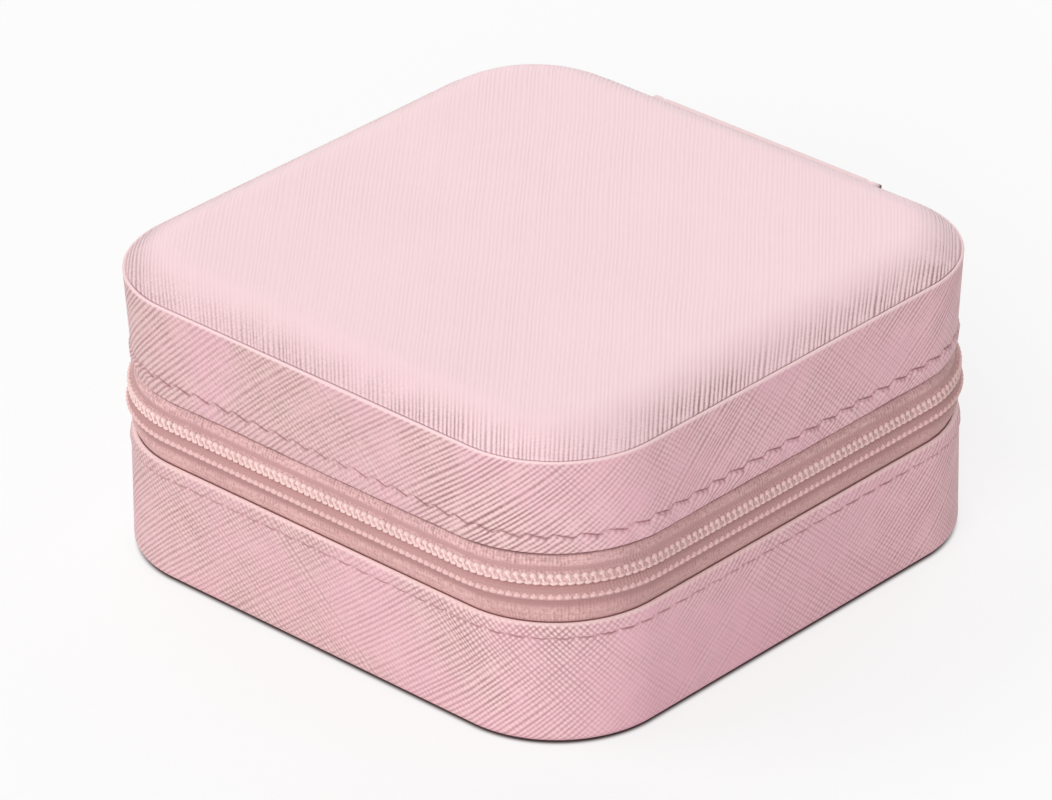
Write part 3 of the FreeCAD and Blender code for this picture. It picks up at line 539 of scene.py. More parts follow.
class Wiring:
    """Short ways to add and join shader nodes in one tree."""

    def __init__(self, tree: bpy.types.NodeTree) -> None:
        """Works on a tree."""
        self.tree = tree

    def node(self, kind: str, **settings: object) -> bpy.types.Node:
        """Adds a node.

        Args:
            kind: the node's type.
            settings: what its properties are set to.

        Returns:
            The node.
        """
        made = self.tree.nodes.new(kind)
        for name, setting in settings.items():
            setattr(made, name, setting)
        return made

    def feed(self, socket: bpy.types.NodeSocket, value: Value) -> None:
        """Links a socket to another, or sets it to a constant.

        Args:
            socket: the input.
            value: an output to link, or the constant.
        """
        if isinstance(value, bpy.types.NodeSocket):
            self.tree.links.new(value, socket)
        else:
            socket.default_value = value

    def math(self, operation: str, *values: Value) -> bpy.types.NodeSocket:
        """Adds a sum.

        Args:
            operation: what is done with the values.
            values: one for each input.

        Returns:
            The result.
        """
        made = self.node("ShaderNodeMath", operation=operation)
        for socket, value in zip(made.inputs, values):
            self.feed(socket, value)
        return made.outputs[0]

    def remap(
        self, value: Value, low: Value, high: Value, first: Value, last: Value
    ) -> bpy.types.NodeSocket:
        """Eases a value from one range into another.

        Args:
            value: what is eased.
            low: start of its range.
            high: end of its range.
            first: result at the start.
            last: result at the end.

        Returns:
            The result.
        """
        made = self.node("ShaderNodeMapRange", interpolation_type="SMOOTHSTEP")
        for socket, given in zip(made.inputs, (value, low, high, first, last)):
            self.feed(socket, given)
        return made.outputs[0]

    def noise(self, place: Value, scale: float, detail: float = 2.0) -> bpy.types.NodeSocket:
        """Adds soft noise.

        Args:
            place: where on the piece.
            scale: waves in a millimetre.
            detail: how many finer waves are laid over it.

        Returns:
            The noise, about 0.5 on average.
        """
        made = self.node("ShaderNodeTexNoise")
        self.feed(made.inputs["Vector"], place)
        made.inputs["Scale"].default_value = scale
        made.inputs["Detail"].default_value = detail
        return made.outputs[0]

    def mix(self, share: Value, first: Value, second: Value) -> bpy.types.NodeSocket:
        """Mixes two colours.

        Args:
            share: how much of the second there is.
            first: the first colour.
            second: the second colour.

        Returns:
            The mixed colour.
        """
        made = self.node("ShaderNodeMix", data_type="RGBA")
        for index, given in zip((0, 6, 7), (share, first, second)):
            self.feed(made.inputs[index], given)
        return made.outputs[2]

    def millimetres(self, place: bpy.types.NodeSocket) -> bpy.types.NodeSocket:
        """Turns a place in metres into millimetres.

        Args:
            place: the place.

        Returns:
            The same place in millimetres.
        """
        scaled = self.node("ShaderNodeVectorMath", operation="SCALE")
        self.feed(scaled.inputs[0], place)
        scaled.inputs["Scale"].default_value = 1.0 / MM
        return scaled.outputs[0]

    def split(self, place: bpy.types.NodeSocket) -> list[bpy.types.NodeSocket]:
        """Splits a place into its parts.

        Args:
            place: the place.

        Returns:
            Its three parts.
        """
        parts = self.node("ShaderNodeSeparateXYZ")
        self.feed(parts.inputs[0], place)
        return list(parts.outputs)

    def flat_place(self) -> tuple[bpy.types.NodeSocket, bpy.types.NodeSocket, bpy.types.NodeSocket]:
        """Gives the place on the flat material.

        Returns:
            The place in millimetres, whole, along the material and up it.
        """
        place = self.millimetres(self.node("ShaderNodeUVMap", uv_map=GRAIN_MAP).outputs[0])
        u, v, _ = self.split(place)
        return place, u, v

    def solid_place(self) -> bpy.types.NodeSocket:
        """Gives the place in the case in millimetres."""
        return self.millimetres(self.node("ShaderNodeTexCoord").outputs["Object"])

    def lines(self, across: Value, pitch: Value, width: float, spread: float = 0.5) -> bpy.types.NodeSocket:
        """Draws pressed lines of uneven depth.

        Args:
            across: distance across the lines.
            pitch: distance between them.
            width: share of the pitch that slopes, up to 1.
            spread: how far the depth of a line may fall short.

        Returns:
            A mask, near 1 in a line and 0 between lines.
        """
        phase = self.math("DIVIDE", across, pitch)
        rise = self.math("PINGPONG", phase, 0.5)
        line = self.remap(rise, 0.0, 0.5 * width, 1.0, 0.0)
        chance = self.node("ShaderNodeTexWhiteNoise", noise_dimensions="1D")
        self.feed(chance.inputs["W"], self.math("ROUND", phase))
        depth = self.math("MULTIPLY_ADD", chance.outputs["Value"], spread, 1.0 - spread)
        return self.math("MULTIPLY", line, depth)

    def slanted(
        self, u: Value, v: Value, degrees: float, place: Value, seed: float
    ) -> bpy.types.NodeSocket:
        """Measures across a family of slanting lines that are straight but unevenly spaced.

        Args:
            u: place along the leather.
            v: place up it.
            degrees: slant of the lines, positive where they rise.
            place: both places together.
            seed: picks the unevenness.

        Returns:
            The distance across the lines.
        """
        angle = math.radians(degrees)
        rise = self.math("MULTIPLY_ADD", u, -math.sin(angle), self.math("MULTIPLY", v, math.cos(angle)))
        jitter = self.node("ShaderNodeTexNoise", noise_dimensions="1D")
        self.feed(jitter.inputs["W"], self.math("MULTIPLY_ADD", rise, 0.36, seed))
        jitter.inputs["Scale"].default_value = 1.0
        jitter.inputs["Detail"].default_value = 0.0
        sway = self.math("MULTIPLY_ADD", self.noise(place, 0.035, 1.0), 0.9, rise)
        return self.math("MULTIPLY_ADD", jitter.outputs[0], 0.75, sway)


@dataclass(frozen=True)
class Effect:
    """A shader node group that finishes share, which puts out a colour, a roughness and a height.

    Attributes:
        name: the group's name.
        colours: names of its colour inputs.
        numbers: names of its number inputs.
        fill: wires the group from its inputs to its outputs, each by name.
    """

    name: str
    colours: tuple[str, ...]
    numbers: tuple[str, ...]
    fill: Callable[[Wiring, Sockets, Sockets], None]

    def tree(self) -> bpy.types.NodeTree:
        """Finds the group, or builds it once.

        Returns:
            The node group.
        """
        made = bpy.data.node_groups.get(self.name)
        if made is not None:
            return made
        made = bpy.data.node_groups.new(self.name, "ShaderNodeTree")
        for way, colours, numbers in (
            ("INPUT", self.colours, self.numbers), ("OUTPUT", ("Color",), ("Roughness", "Height")),
        ):
            for title in colours:
                made.interface.new_socket(title, in_out=way, socket_type="NodeSocketColor")
            for title in numbers:
                made.interface.new_socket(title, in_out=way, socket_type="NodeSocketFloat")
        w = Wiring(made)
        entry, way_out = w.node("NodeGroupInput"), w.node("NodeGroupOutput")
        self.fill(w, {s.name: s for s in entry.outputs}, {s.name: s for s in way_out.inputs})
        return made


# Slants of the grain's two families of lines, in degrees.
GRAIN_RISING = 40.5
GRAIN_FALLING = -44.0
# Places from left to right between which the lines' painted shade grows to full strength, and between which
# painted shade comes in on the right face.
LINE_SHADE_GROWS = (8.0, 40.0)
RIGHT_SHADE_SPAN = (44.0, 50.0)


def wire_cross_grain(w: Wiring, given: Sockets, out: Sockets) -> None:
    """Wires leather pressed with two crossing families of fine diagonal lines, whose darker colour is partly
    painted shade and is cut back toward the left side.

    Args:
        w: the group's wiring.
        given: the group's inputs by name.
        out: its outputs by name.
    """
    place, u, v = w.flat_place()
    main = w.lines(w.slanted(u, v, GRAIN_RISING, place, 0.0), given["Pitch"], 0.95, 0.3)
    patch = w.remap(w.noise(place, 0.03, 1.0), 0.42, 0.58, 0.0, 1.0)
    main = w.math("MULTIPLY", main, w.remap(w.noise(place, 0.22), 0.3, 0.55, 0.7, 1.0))
    main = w.math("MULTIPLY", main, w.math("MULTIPLY_ADD", patch, -0.2, 1.0))
    pitch = w.math("MULTIPLY", given["Pitch"], 0.93)
    cross = w.lines(w.slanted(u, v, GRAIN_FALLING, place, 40.0), pitch, 0.9, 0.3)
    strength = w.math("MULTIPLY", w.math("MULTIPLY_ADD", patch, 0.4, 0.42), given["Cross"])
    cross = w.math("MULTIPLY", cross, strength)
    top = w.math("MULTIPLY", w.math("SUBTRACT", 1.0, main), w.math("SUBTRACT", 1.0, cross))
    pores = w.math("MULTIPLY_ADD", w.noise(place, 5.0, 2.0), 0.16, -0.08)
    low = w.remap(top, 0.0, 0.9, 1.0, 0.0)
    across = w.split(w.solid_place())[0]
    # The lines' colour, partly painted shade, is cut back toward the left side.
    flat = w.math("MULTIPLY", w.remap(across, *LINE_SHADE_GROWS, 1.0, 0.0), given["Flat"])
    low = w.math("MULTIPLY_ADD", low, w.math("SUBTRACT", 1.0, flat), w.math("MULTIPLY", flat, 0.5))
    speck = w.math("MULTIPLY_ADD", w.noise(place, 2.4, 2.0), 0.8, -0.4)
    gloss = w.math("MULTIPLY_ADD", low, 0.14, given["Gloss"])
    w.feed(out["Color"], w.mix(w.math("ADD", low, speck), given["Ridge"], given["Groove"]))
    w.feed(out["Roughness"], w.math("ADD", gloss, pores))
    w.feed(out["Height"], w.math("ADD", top, pores))


def wire_fade(w: Wiring, given: Sockets, out: Sockets) -> None:
    """Wires one colour that gives way to another between two heights on the case.

    Args:
        w: the group's wiring.
        given: the group's inputs by name.
        out: its outputs by name.
    """
    height = w.split(w.solid_place())[2]
    share = w.remap(height, given["Low"], given["High"], 0.0, 1.0)
    w.feed(out["Color"], w.mix(share, given["Color"], given["Above"]))
    w.feed(out["Roughness"], share)
    w.feed(out["Height"], share)


def wire_mottle(w: Wiring, given: Sockets, out: Sockets) -> None:
    """Wires slow shifts of tone, with a little handling wear, and painted shade that darkens the right face.

    Args:
        w: the group's wiring.
        given: the group's inputs by name.
        out: its outputs by name.
    """
    place = w.solid_place()
    cloud = w.remap(w.noise(place, 0.055, 3.0), 0.35, 0.65, 0.0, 1.0)
    fleck = w.remap(w.noise(place, 0.35, 2.0), 0.4, 0.7, 0.0, 1.0)
    # Painted shade: the drift grows toward the tint on the right face.
    side = w.math("MULTIPLY", w.remap(w.split(place)[0], *RIGHT_SHADE_SPAN, 0.0, 1.0), given["Lean"])
    drift = w.math("ADD", w.math("MULTIPLY_ADD", fleck, 0.35, cloud), side)
    share = w.math("MULTIPLY", drift, given["Amount"])
    w.feed(out["Color"], w.mix(share, given["Color"], given["Tint"]))
    w.feed(out["Roughness"], w.math("MULTIPLY_ADD", cloud, 0.08, given["Gloss"]))
    w.feed(out["Height"], fleck)


def wire_weave(w: Wiring, given: Sockets, out: Sockets) -> None:
    """Wires a close plain weave with ribs across the tape.

    Args:
        w: the group's wiring.
        given: the group's inputs by name.
        out: its outputs by name.
    """
    place, u, v = w.flat_place()
    slip = w.math("MULTIPLY_ADD", w.noise(place, 0.8, 2.0), 0.3, -0.15)
    rib = w.lines(w.math("ADD", u, slip), given["Pitch"], 1.0)
    rib = w.math("MULTIPLY", rib, w.remap(w.noise(place, 0.12), 0.35, 0.6, 0.2, 0.55))
    pick = w.lines(w.math("ADD", v, slip), w.math("MULTIPLY", given["Pitch"], 0.7), 1.0)
    low = w.math("MULTIPLY_ADD", pick, 0.25, rib)
    fuzz = w.noise(place, 3.0, 3.0)
    worn = w.math("ADD", low, w.math("MULTIPLY_ADD", w.noise(place, 1.8, 3.0), 2.4, -1.12))
    matt = w.math("MULTIPLY_ADD", fuzz, 0.1, 0.7)
    w.feed(out["Color"], w.mix(worn, given["Yarn"], given["Shadow"]))
    w.feed(out["Roughness"], w.math("MULTIPLY_ADD", low, 0.1, matt))
    w.feed(out["Height"], w.math("MULTIPLY_ADD", fuzz, 0.25, w.math("SUBTRACT", 1.0, low)))


def wire_pile(w: Wiring, given: Sockets, out: Sockets) -> None:
    """Wires short velvet pile, brushed lighter and darker in patches.

    Args:
        w: the group's wiring.
        given: the group's inputs by name.
        out: its outputs by name.
    """
    place = w.solid_place()
    brushed = w.remap(w.noise(place, 0.05, 2.0), 0.38, 0.62, 0.0, 1.0)
    tuft = w.noise(place, 2.6, 3.0)
    share = w.math("MULTIPLY_ADD", tuft, 0.7, w.math("MULTIPLY_ADD", brushed, 0.35, -0.05))
    w.feed(out["Color"], w.mix(share, given["Tip"], given["Root"]))
    w.feed(out["Roughness"], w.math("MULTIPLY_ADD", tuft, 0.15, 0.8))
    w.feed(out["Height"], tuft)


CROSS_GRAIN = Effect(
    "cross_grain", ("Ridge", "Groove"), ("Pitch", "Cross", "Gloss", "Flat"), wire_cross_grain
)
FADE = Effect("fade", ("Color", "Above"), ("Low", "High"), wire_fade)
MOTTLE = Effect("mottle", ("Color", "Tint"), ("Amount", "Gloss", "Lean"), wire_mottle)
WEAVE = Effect("weave", ("Yarn", "Shadow"), ("Pitch",), wire_weave)
PILE = Effect("pile", ("Tip", "Root"), (), wire_pile)


@dataclass(frozen=True)
class Finish:
    """What a piece is made of.

    Attributes:
        name: the finish's name.
        slot: its material slot; not used.
        settings: constants on the shader's own sockets.
        depth: height of the surface's relief.
    """

    name: str
    slot: Slot
    settings: dict[str, Value] = field(default_factory=dict)
    depth: float = 0.05

    def surface(self, w: Wiring) -> tuple[Value, Value, Value]:
        """Gives the colour, roughness and height that vary over the surface."""
        raise NotImplementedError

    def place_group(self, w: Wiring, effect: Effect, **values: Value) -> Sockets:
        """Puts a shared effect into the material.

        Args:
            w: the material's wiring.
            effect: the effect.
            values: what its inputs are set or linked to.

        Returns:
            The effect's outputs by name.
        """
        made = w.node("ShaderNodeGroup", node_tree=effect.tree())
        for name, value in values.items():
            w.feed(made.inputs[name], value)
        return {s.name: s for s in made.outputs}

    def fade(self, w: Wiring, colour: Value, above: Value, low: float, high: float) -> Value:
        """Lets a colour give way to another one between two heights."""
        return self.place_group(w, FADE, Color=colour, Above=above, Low=low, High=high)["Color"]

    def material(self) -> bpy.types.Material:
        """Finds or makes the finish's material.

        Returns:
            The material, with its shader wired.
        """
        made = bpy.data.materials.get(self.name)
        if made is not None:
            return made
        made = bpy.data.materials.new(self.name)
        made.use_nodes = True
        w = Wiring(made.node_tree)
        shader = made.node_tree.nodes["Principled BSDF"]
        colour, rough, height = self.surface(w)
        w.feed(shader.inputs["Base Color"], colour)
        w.feed(shader.inputs["Roughness"], rough)
        bump = w.node("ShaderNodeBump")
        bump.inputs["Distance"].default_value = self.depth * MM
        w.feed(bump.inputs["Height"], height)
        w.feed(shader.inputs["Normal"], bump.outputs[0])
        for name, value in self.settings.items():
            shader.inputs[name].default_value = value
        return made


@dataclass(frozen=True)
class LeatherFinish(Finish):
    """Cross-grained leather.

    Attributes:
        ridge: colour of the raised grain.
        groove: colour in the pressed lines, darker partly as painted shade in them.
        tint: colour that it drifts to in patches, and on the right face as painted shade.
        pitch: distance between the lines.
        cross: strength of the second family of lines.
        gloss: roughness of the raised grain.
        drift: how far the tone drifts.
        lean: painted shade, as how much stronger the drift gets toward the right side.
        flat: how much weaker the lines' colour, with its painted shade, gets toward the left side.
        flat_groove: colour in the lines above the crown's turn, close to the ridges, so that the lines'
            painted shade shows only on the crown.
        turn: heights between which the lines' painted shade fades out.
        worn: pale colour of the top edge, painted highlight where the edge catches the light, with some wear.
        edge: heights between which the pale edge comes in.
    """

    ridge: Colour = (0.835, 0.595, 0.583, 1.0)
    groove: Colour = (0.36, 0.182, 0.192, 1.0)
    tint: Colour = (0.80, 0.45, 0.53, 1.0)
    pitch: float = 0.77
    cross: float = 0.95
    gloss: float = 0.48
    drift: float = 0.35
    lean: float = 1.0
    flat: float = 0.42
    flat_groove: Colour | None = None
    turn: tuple[float, float] = (47.6, 51.1)
    worn: Colour | None = None
    edge: tuple[float, float] = (46.5, 47.1)

    def surface(self, w: Wiring) -> tuple[Value, Value, Value]:
        """Grain first, then a slow drift of tone with painted shade toward the right side, then the pale top
        edge, painted highlight with some wear.

        Args:
            w: the material's wiring.

        Returns:
            The colour, the roughness and the height.
        """
        groove = self.groove
        if self.flat_groove is not None:
            groove = self.fade(w, groove, self.flat_groove, *self.turn)
        grain = self.place_group(
            w, CROSS_GRAIN, Ridge=self.ridge, Groove=groove, Pitch=self.pitch,
            Cross=self.cross, Gloss=self.gloss, Flat=self.flat,
        )
        tone = self.place_group(
            w, MOTTLE, Color=grain["Color"], Tint=self.tint, Amount=self.drift, Lean=self.lean
        )
        colour = tone["Color"]
        if self.worn is not None:
            colour = self.fade(w, colour, self.worn, *self.edge)
        return colour, grain["Roughness"], grain["Height"]


@dataclass(frozen=True)
class WovenFinish(Finish):
    """Woven tape or thread.

    Attributes:
        yarn: colour on top of the yarns.
        shadow: colour between them.
        pitch: distance between the ribs.
        drift: how far the tone drifts.
        lean: painted shade, as how much stronger the drift gets toward the right side.
        painted_shade_bands: painted shade in the tape's hollows and where it runs under the leather's edges,
            given as colours and the heights between which each comes in from below; None is the weave's own.
    """

    yarn: Colour = (0.82, 0.525, 0.515, 1.0)
    shadow: Colour = (0.44, 0.24, 0.24, 1.0)
    pitch: float = 0.56
    drift: float = 0.2
    lean: float = 0.0
    painted_shade_bands: tuple[tuple[Colour | None, float, float], ...] = ()

    def surface(self, w: Wiring) -> tuple[Value, Value, Value]:
        """Weave first, then a slow drift of tone with painted shade toward the right side, then the bands of
        painted shade.

        Args:
            w: the material's wiring.

        Returns:
            The colour, the roughness and the height.
        """
        cloth = self.place_group(w, WEAVE, Yarn=self.yarn, Shadow=self.shadow, Pitch=self.pitch)
        tone = self.place_group(
            w, MOTTLE, Color=cloth["Color"], Tint=self.shadow, Amount=self.drift, Lean=self.lean
        )
        colour = tone["Color"]
        # Painted shade, band by band up the tape.
        for above, low, high in self.painted_shade_bands:
            colour = self.fade(w, colour, above or tone["Color"], low, high)
        return colour, cloth["Roughness"], cloth["Height"]


@dataclass(frozen=True)
class VelvetFinish(Finish):
    """Short velvet.

    Attributes:
        tip: colour of the pile's tips.
        root: colour down in the pile.
    """

    tip: Colour = (0.78, 0.52, 0.55, 1.0)
    root: Colour = (0.56, 0.31, 0.35, 1.0)

    def surface(self, w: Wiring) -> tuple[Value, Value, Value]:
        """Pile alone."""
        velvet = self.place_group(w, PILE, Tip=self.tip, Root=self.root)
        return velvet["Color"], velvet["Roughness"], velvet["Height"]


@dataclass(frozen=True)
class PlainFinish(Finish):
    """A smooth material with slow shifts of tone.

    Attributes:
        tone: main colour.
        tint: colour that it drifts to.
        amount: how far it drifts.
        gloss: roughness.
    """

    tone: Colour = (0.8, 0.8, 0.8, 1.0)
    tint: Colour = (0.7, 0.7, 0.7, 1.0)
    amount: float = 0.5
    gloss: float = 0.4

    def surface(self, w: Wiring) -> tuple[Value, Value, Value]:
        """Mottle alone.

        Args:
            w: the material's wiring.

        Returns:
            The colour, the roughness and the height.
        """
        tone = self.place_group(
            w, MOTTLE, Color=self.tone, Tint=self.tint, Amount=self.amount, Gloss=self.gloss
        )
        return tone["Color"], tone["Roughness"], tone["Height"]


LOW_SHINE = {"Specular IOR Level": 0.25}
TAPE_SHEEN = {"Sheen Weight": 0.1}
BRAID_SHEEN = {"Sheen Weight": 0.2}
# Painted highlight with some wear along the base band's rolled edge, and painted shade toward the right face.
BAND_LEATHER = LeatherFinish(
    "pink_cross_grain", Slot.LEATHER, LOW_SHINE, 0.028, worn=(0.99, 0.77, 0.755, 1.0),
    edge=(19.6, 20.3), ridge=(0.852, 0.609, 0.597, 1.0), lean=1.1,
)
# Painted highlight with some wear along the lid band's lip, and painted shade toward the right face.
LID_LEATHER = LeatherFinish(
    "pink_cross_grain_lid", Slot.LEATHER, LOW_SHINE, 0.028, worn=(0.92, 0.67, 0.685, 1.0),
    cross=0.68, pitch=0.8, groove=(0.33, 0.162, 0.172, 1.0),
)
# Painted highlight with some wear on the panel's head where it turns over the lip.
HINGE_LEATHER = replace(LID_LEATHER, name="pink_cross_grain_hinge", worn=(0.95, 0.72, 0.735, 1.0))
# A lighter copy of the leather for the top, as painted sheen; its lines carry painted shade on the crown and
# fade out on the flat.
PAINTED_SHEEN_TOP_LEATHER = LeatherFinish(
    "pink_cross_grain_top", Slot.LEATHER, {"Specular IOR Level": 0.5}, 0.045,
    ridge=(0.92, 0.664, 0.692, 1.0), groove=(0.30, 0.15, 0.155, 1.0), tint=(0.90, 0.63, 0.68, 1.0),
    flat_groove=(0.915, 0.658, 0.688, 1.0), cross=0.2, pitch=0.66, lean=0.0, gloss=0.42,
)
FRAME_LEATHER = LeatherFinish(
    "pale_pink_leather", Slot.PALE_LEATHER, {"Specular IOR Level": 0.4}, 0.07,
    ridge=(0.82, 0.58, 0.60, 1.0), groove=(0.70, 0.46, 0.48, 1.0), tint=(0.80, 0.54, 0.60, 1.0), pitch=0.7,
)
# Real stitches, in thread darker than the leather as painted shade of the creases that they pull in.
CREASE_SHADE_THREAD = WovenFinish(
    "pink_sewing_thread", Slot.LEATHER, {"Sheen Weight": 0.15}, 0.04,
    yarn=(0.50, 0.28, 0.29, 1.0), shadow=(0.36, 0.18, 0.19, 1.0), pitch=0.3,
)
# Dark thread at the ends of the panel's head, as painted shade on its end faces.
END_SHADE_THREAD = replace(
    CREASE_SHADE_THREAD, name="dark_rose_thread", yarn=(0.20, 0.09, 0.10, 1.0), shadow=(0.10, 0.04, 0.045, 1.0)
)
# Painted shade: a darker band in the hollow above the beads, a dark band where the tape runs under the lid's
# edge, and a drift darker toward the right side.
ZIP_TAPE = WovenFinish(
    "rose_zip_tape", Slot.TAPE, TAPE_SHEEN, 0.1, lean=1.5,
    painted_shade_bands=(
        ((0.53, 0.305, 0.3, 1.0), 28.7, 29.0),
        (None, 29.25, 29.85),
        ((0.18, 0.08, 0.08, 1.0), 30.8, 31.15),
    ),
)
# A darker copy of the tape as painted shade for the lower half, with painted shade where the tape runs under
# the base's edge, below the beads and in the groove between the rows, and a drift darker toward the right
# side.
SHADED_LOWER_TAPE = WovenFinish(
    "rose_zip_tape_shaded", Slot.TAPE, TAPE_SHEEN, 0.1,
    yarn=(0.75, 0.455, 0.437, 1.0), shadow=(0.455, 0.245, 0.239, 1.0), lean=1.6,
    painted_shade_bands=(
        ((0.25, 0.115, 0.115, 1.0), 0.0, 0.1),
        (None, 20.15, 20.42),
        ((0.43, 0.228, 0.222, 1.0), 22.4, 23.5),
        (None, 24.0, 24.5),
        ((0.51, 0.287, 0.278, 1.0), 25.25, 25.6),
    ),
)
GUSSET_CLOTH = WovenFinish("rose_gusset", Slot.TAPE, TAPE_SHEEN, 0.1)
# Painted shade: the braid drifts darker toward the right side.
ZIP_BRAID = WovenFinish(
    "pale_zip_braid", Slot.TAPE, BRAID_SHEEN, 0.03,
    yarn=(0.94, 0.725, 0.685, 1.0), shadow=(0.72, 0.47, 0.445, 1.0), pitch=0.22, lean=3.2,
)
# A darker copy of the braid as painted shade for the lower row, with a drift darker toward the right side.
SHADED_LOWER_BRAID = WovenFinish(
    "rose_zip_braid", Slot.TAPE, BRAID_SHEEN, 0.03,
    yarn=(0.88, 0.59, 0.57, 1.0), shadow=(0.68, 0.41, 0.395, 1.0), pitch=0.22, lean=2.2,
)
ZIP_COIL = PlainFinish(
    "rose_coil", Slot.COIL, {"Specular IOR Level": 0.5}, 0.01,
    tone=(0.74, 0.50, 0.51, 1.0), tint=(0.66, 0.42, 0.44, 1.0), gloss=0.3,
)
VELVET = VelvetFinish("blush_velvet", Slot.VELVET, {"Sheen Weight": 0.5, "Sheen Roughness": 0.4}, 0.12)
PAPER = PlainFinish(
    "pink_paper_board", Slot.BOARD, LOW_SHINE, 0.03,
    tone=(0.70, 0.46, 0.48, 1.0), tint=(0.60, 0.38, 0.40, 1.0), gloss=0.75,
)
METAL = PlainFinish(
    "pale_gold", Slot.METAL, {"Metallic": 1.0}, 0.004,
    tone=(0.86, 0.68, 0.46, 1.0), tint=(0.80, 0.60, 0.40, 1.0), amount=0.4, gloss=0.18,
)
GLASS = PlainFinish(
    "silvered_glass", Slot.MIRROR, {"Metallic": 1.0}, 0.0005,
    tone=(0.90, 0.91, 0.91, 1.0), tint=(0.87, 0.88, 0.89, 1.0), amount=0.3, gloss=0.02,
)


def dress(piece: bpy.types.Object, finish: Finish, body: Body, *nodes: str) -> bpy.types.Object:
    """Gives a piece its finish, its body and the solids that it stands for.

    Args:
        piece: the new piece.
        finish: what it is made of.
        body: the body that it rides on.
        nodes: the solids that it replaces.

    Returns:
        The piece.
    """
    paint(piece, finish)
    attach(piece, body.value)
    if nodes:
        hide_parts(*nodes)
    LOG.info("%s: %s on %s", piece.name, finish.name, body.value)
    return piece


def paint(piece: bpy.types.Object, finish: Finish) -> None:
    """Gives a piece its finish and material slot.

    Args:
        piece: a new piece or a solid.
        finish: what it is made of.
    """
    piece.data.materials.clear()
    piece.data.materials.append(finish.material())


def paint_solids(finish: Finish, *names: str) -> None:
    """Gives solids that stay in sight their finish.

    Args:
        finish: what they are made of.
        names: the solids' names.
    """
    for name in names:
        paint(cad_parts[name], finish)
        LOG.info("%s: %s", name, finish.name)


@dataclass(frozen=True)
class StitchRow:
    """A row of stitches that holds a zip tape to a leather edge.

    Attributes:
        height: height of the row.
        edge: height of the leather's edge.
        slant: how much lower a stitch ends than it starts, seen from outside.
        pucker: how far the hem puffs out between row and edge.
        groove: depth of the groove that the row pulls in.
        gap: share of a stitch at each end that is sunk out of sight.
        dip: how far a stitch goes down at its ends.
        gauge: thread radius.
        count: stitches round the case.
    """

    height: float
    edge: float
    slant: float
    pucker: float
    groove: float
    gap: float
    dip: float
    gauge: float
    count: int

    def line(self, s: Array) -> Array:
        """Height of the crease along the row: each stitch slants down, then steps up to the next."""
        phase = np.mod(s * self.count / CASE.length, 1.0)
        return self.height + self.slant * (0.5 - phase + smooth(phase, 0.68, 1.0))

    def relief(self, s: Array, z: Array) -> Array:
        """Works out how far the leather stands out near the row.

        Args:
            s: lengths round the case.
            z: heights.

        Returns:
            Outward distances, broadcast from both.
        """
        pitch = CASE.length / self.count
        phase = np.mod(s / pitch, 1.0)
        toward = np.sign(self.edge - self.height)
        side = (z - self.line(s)) * toward
        hem = np.clip(side / abs(self.edge - self.height), 0.0, 1.0)
        middle = np.sin(math.pi * phase)
        puff = self.pucker * np.sin(math.pi * hem**0.45) * (0.7 + 0.3 * middle)
        pull = self.groove * bell(side, 0.19) * (0.6 + 0.4 * middle)
        hole = 0.2 * bell(np.minimum(phase, 1.0 - phase) * pitch, 0.3) * bell(z - self.height, 0.4)
        return puff - pull - hole + 0.05 * ripple(s, 3.0 * z, 5, 9.0) * (hem > 0.0)

    def thread(self, name: str, body: Body) -> None:
        """Sews the row's stitches as separate threads.

        Args:
            name: the piece's name.
            body: the body that carries them.
        """
        pitch = CASE.length / self.count
        share = np.linspace(0.0, 1.0, 11)
        reach = self.gap + (1.0 - 2.0 * self.gap) * share
        s = (np.arange(self.count)[:, None] + reach[None]) * pitch
        z = self.line(s) + 0.05 * ripple(s, 0.0 * s, 9, 14.0)
        n = -0.15 - self.dip * (1.0 - np.sin(math.pi * share)[None] ** 0.4)
        radii = self.gauge * np.sqrt(np.clip(1.0 - (2.0 * share - 1.0) ** 6, 0.04, 1.0))
        skin = Skin()
        skin.tubes(CASE.place(s, n, z), CASE.outward(s), radii)
        dress(skin.make(name), CREASE_SHADE_THREAD, body)


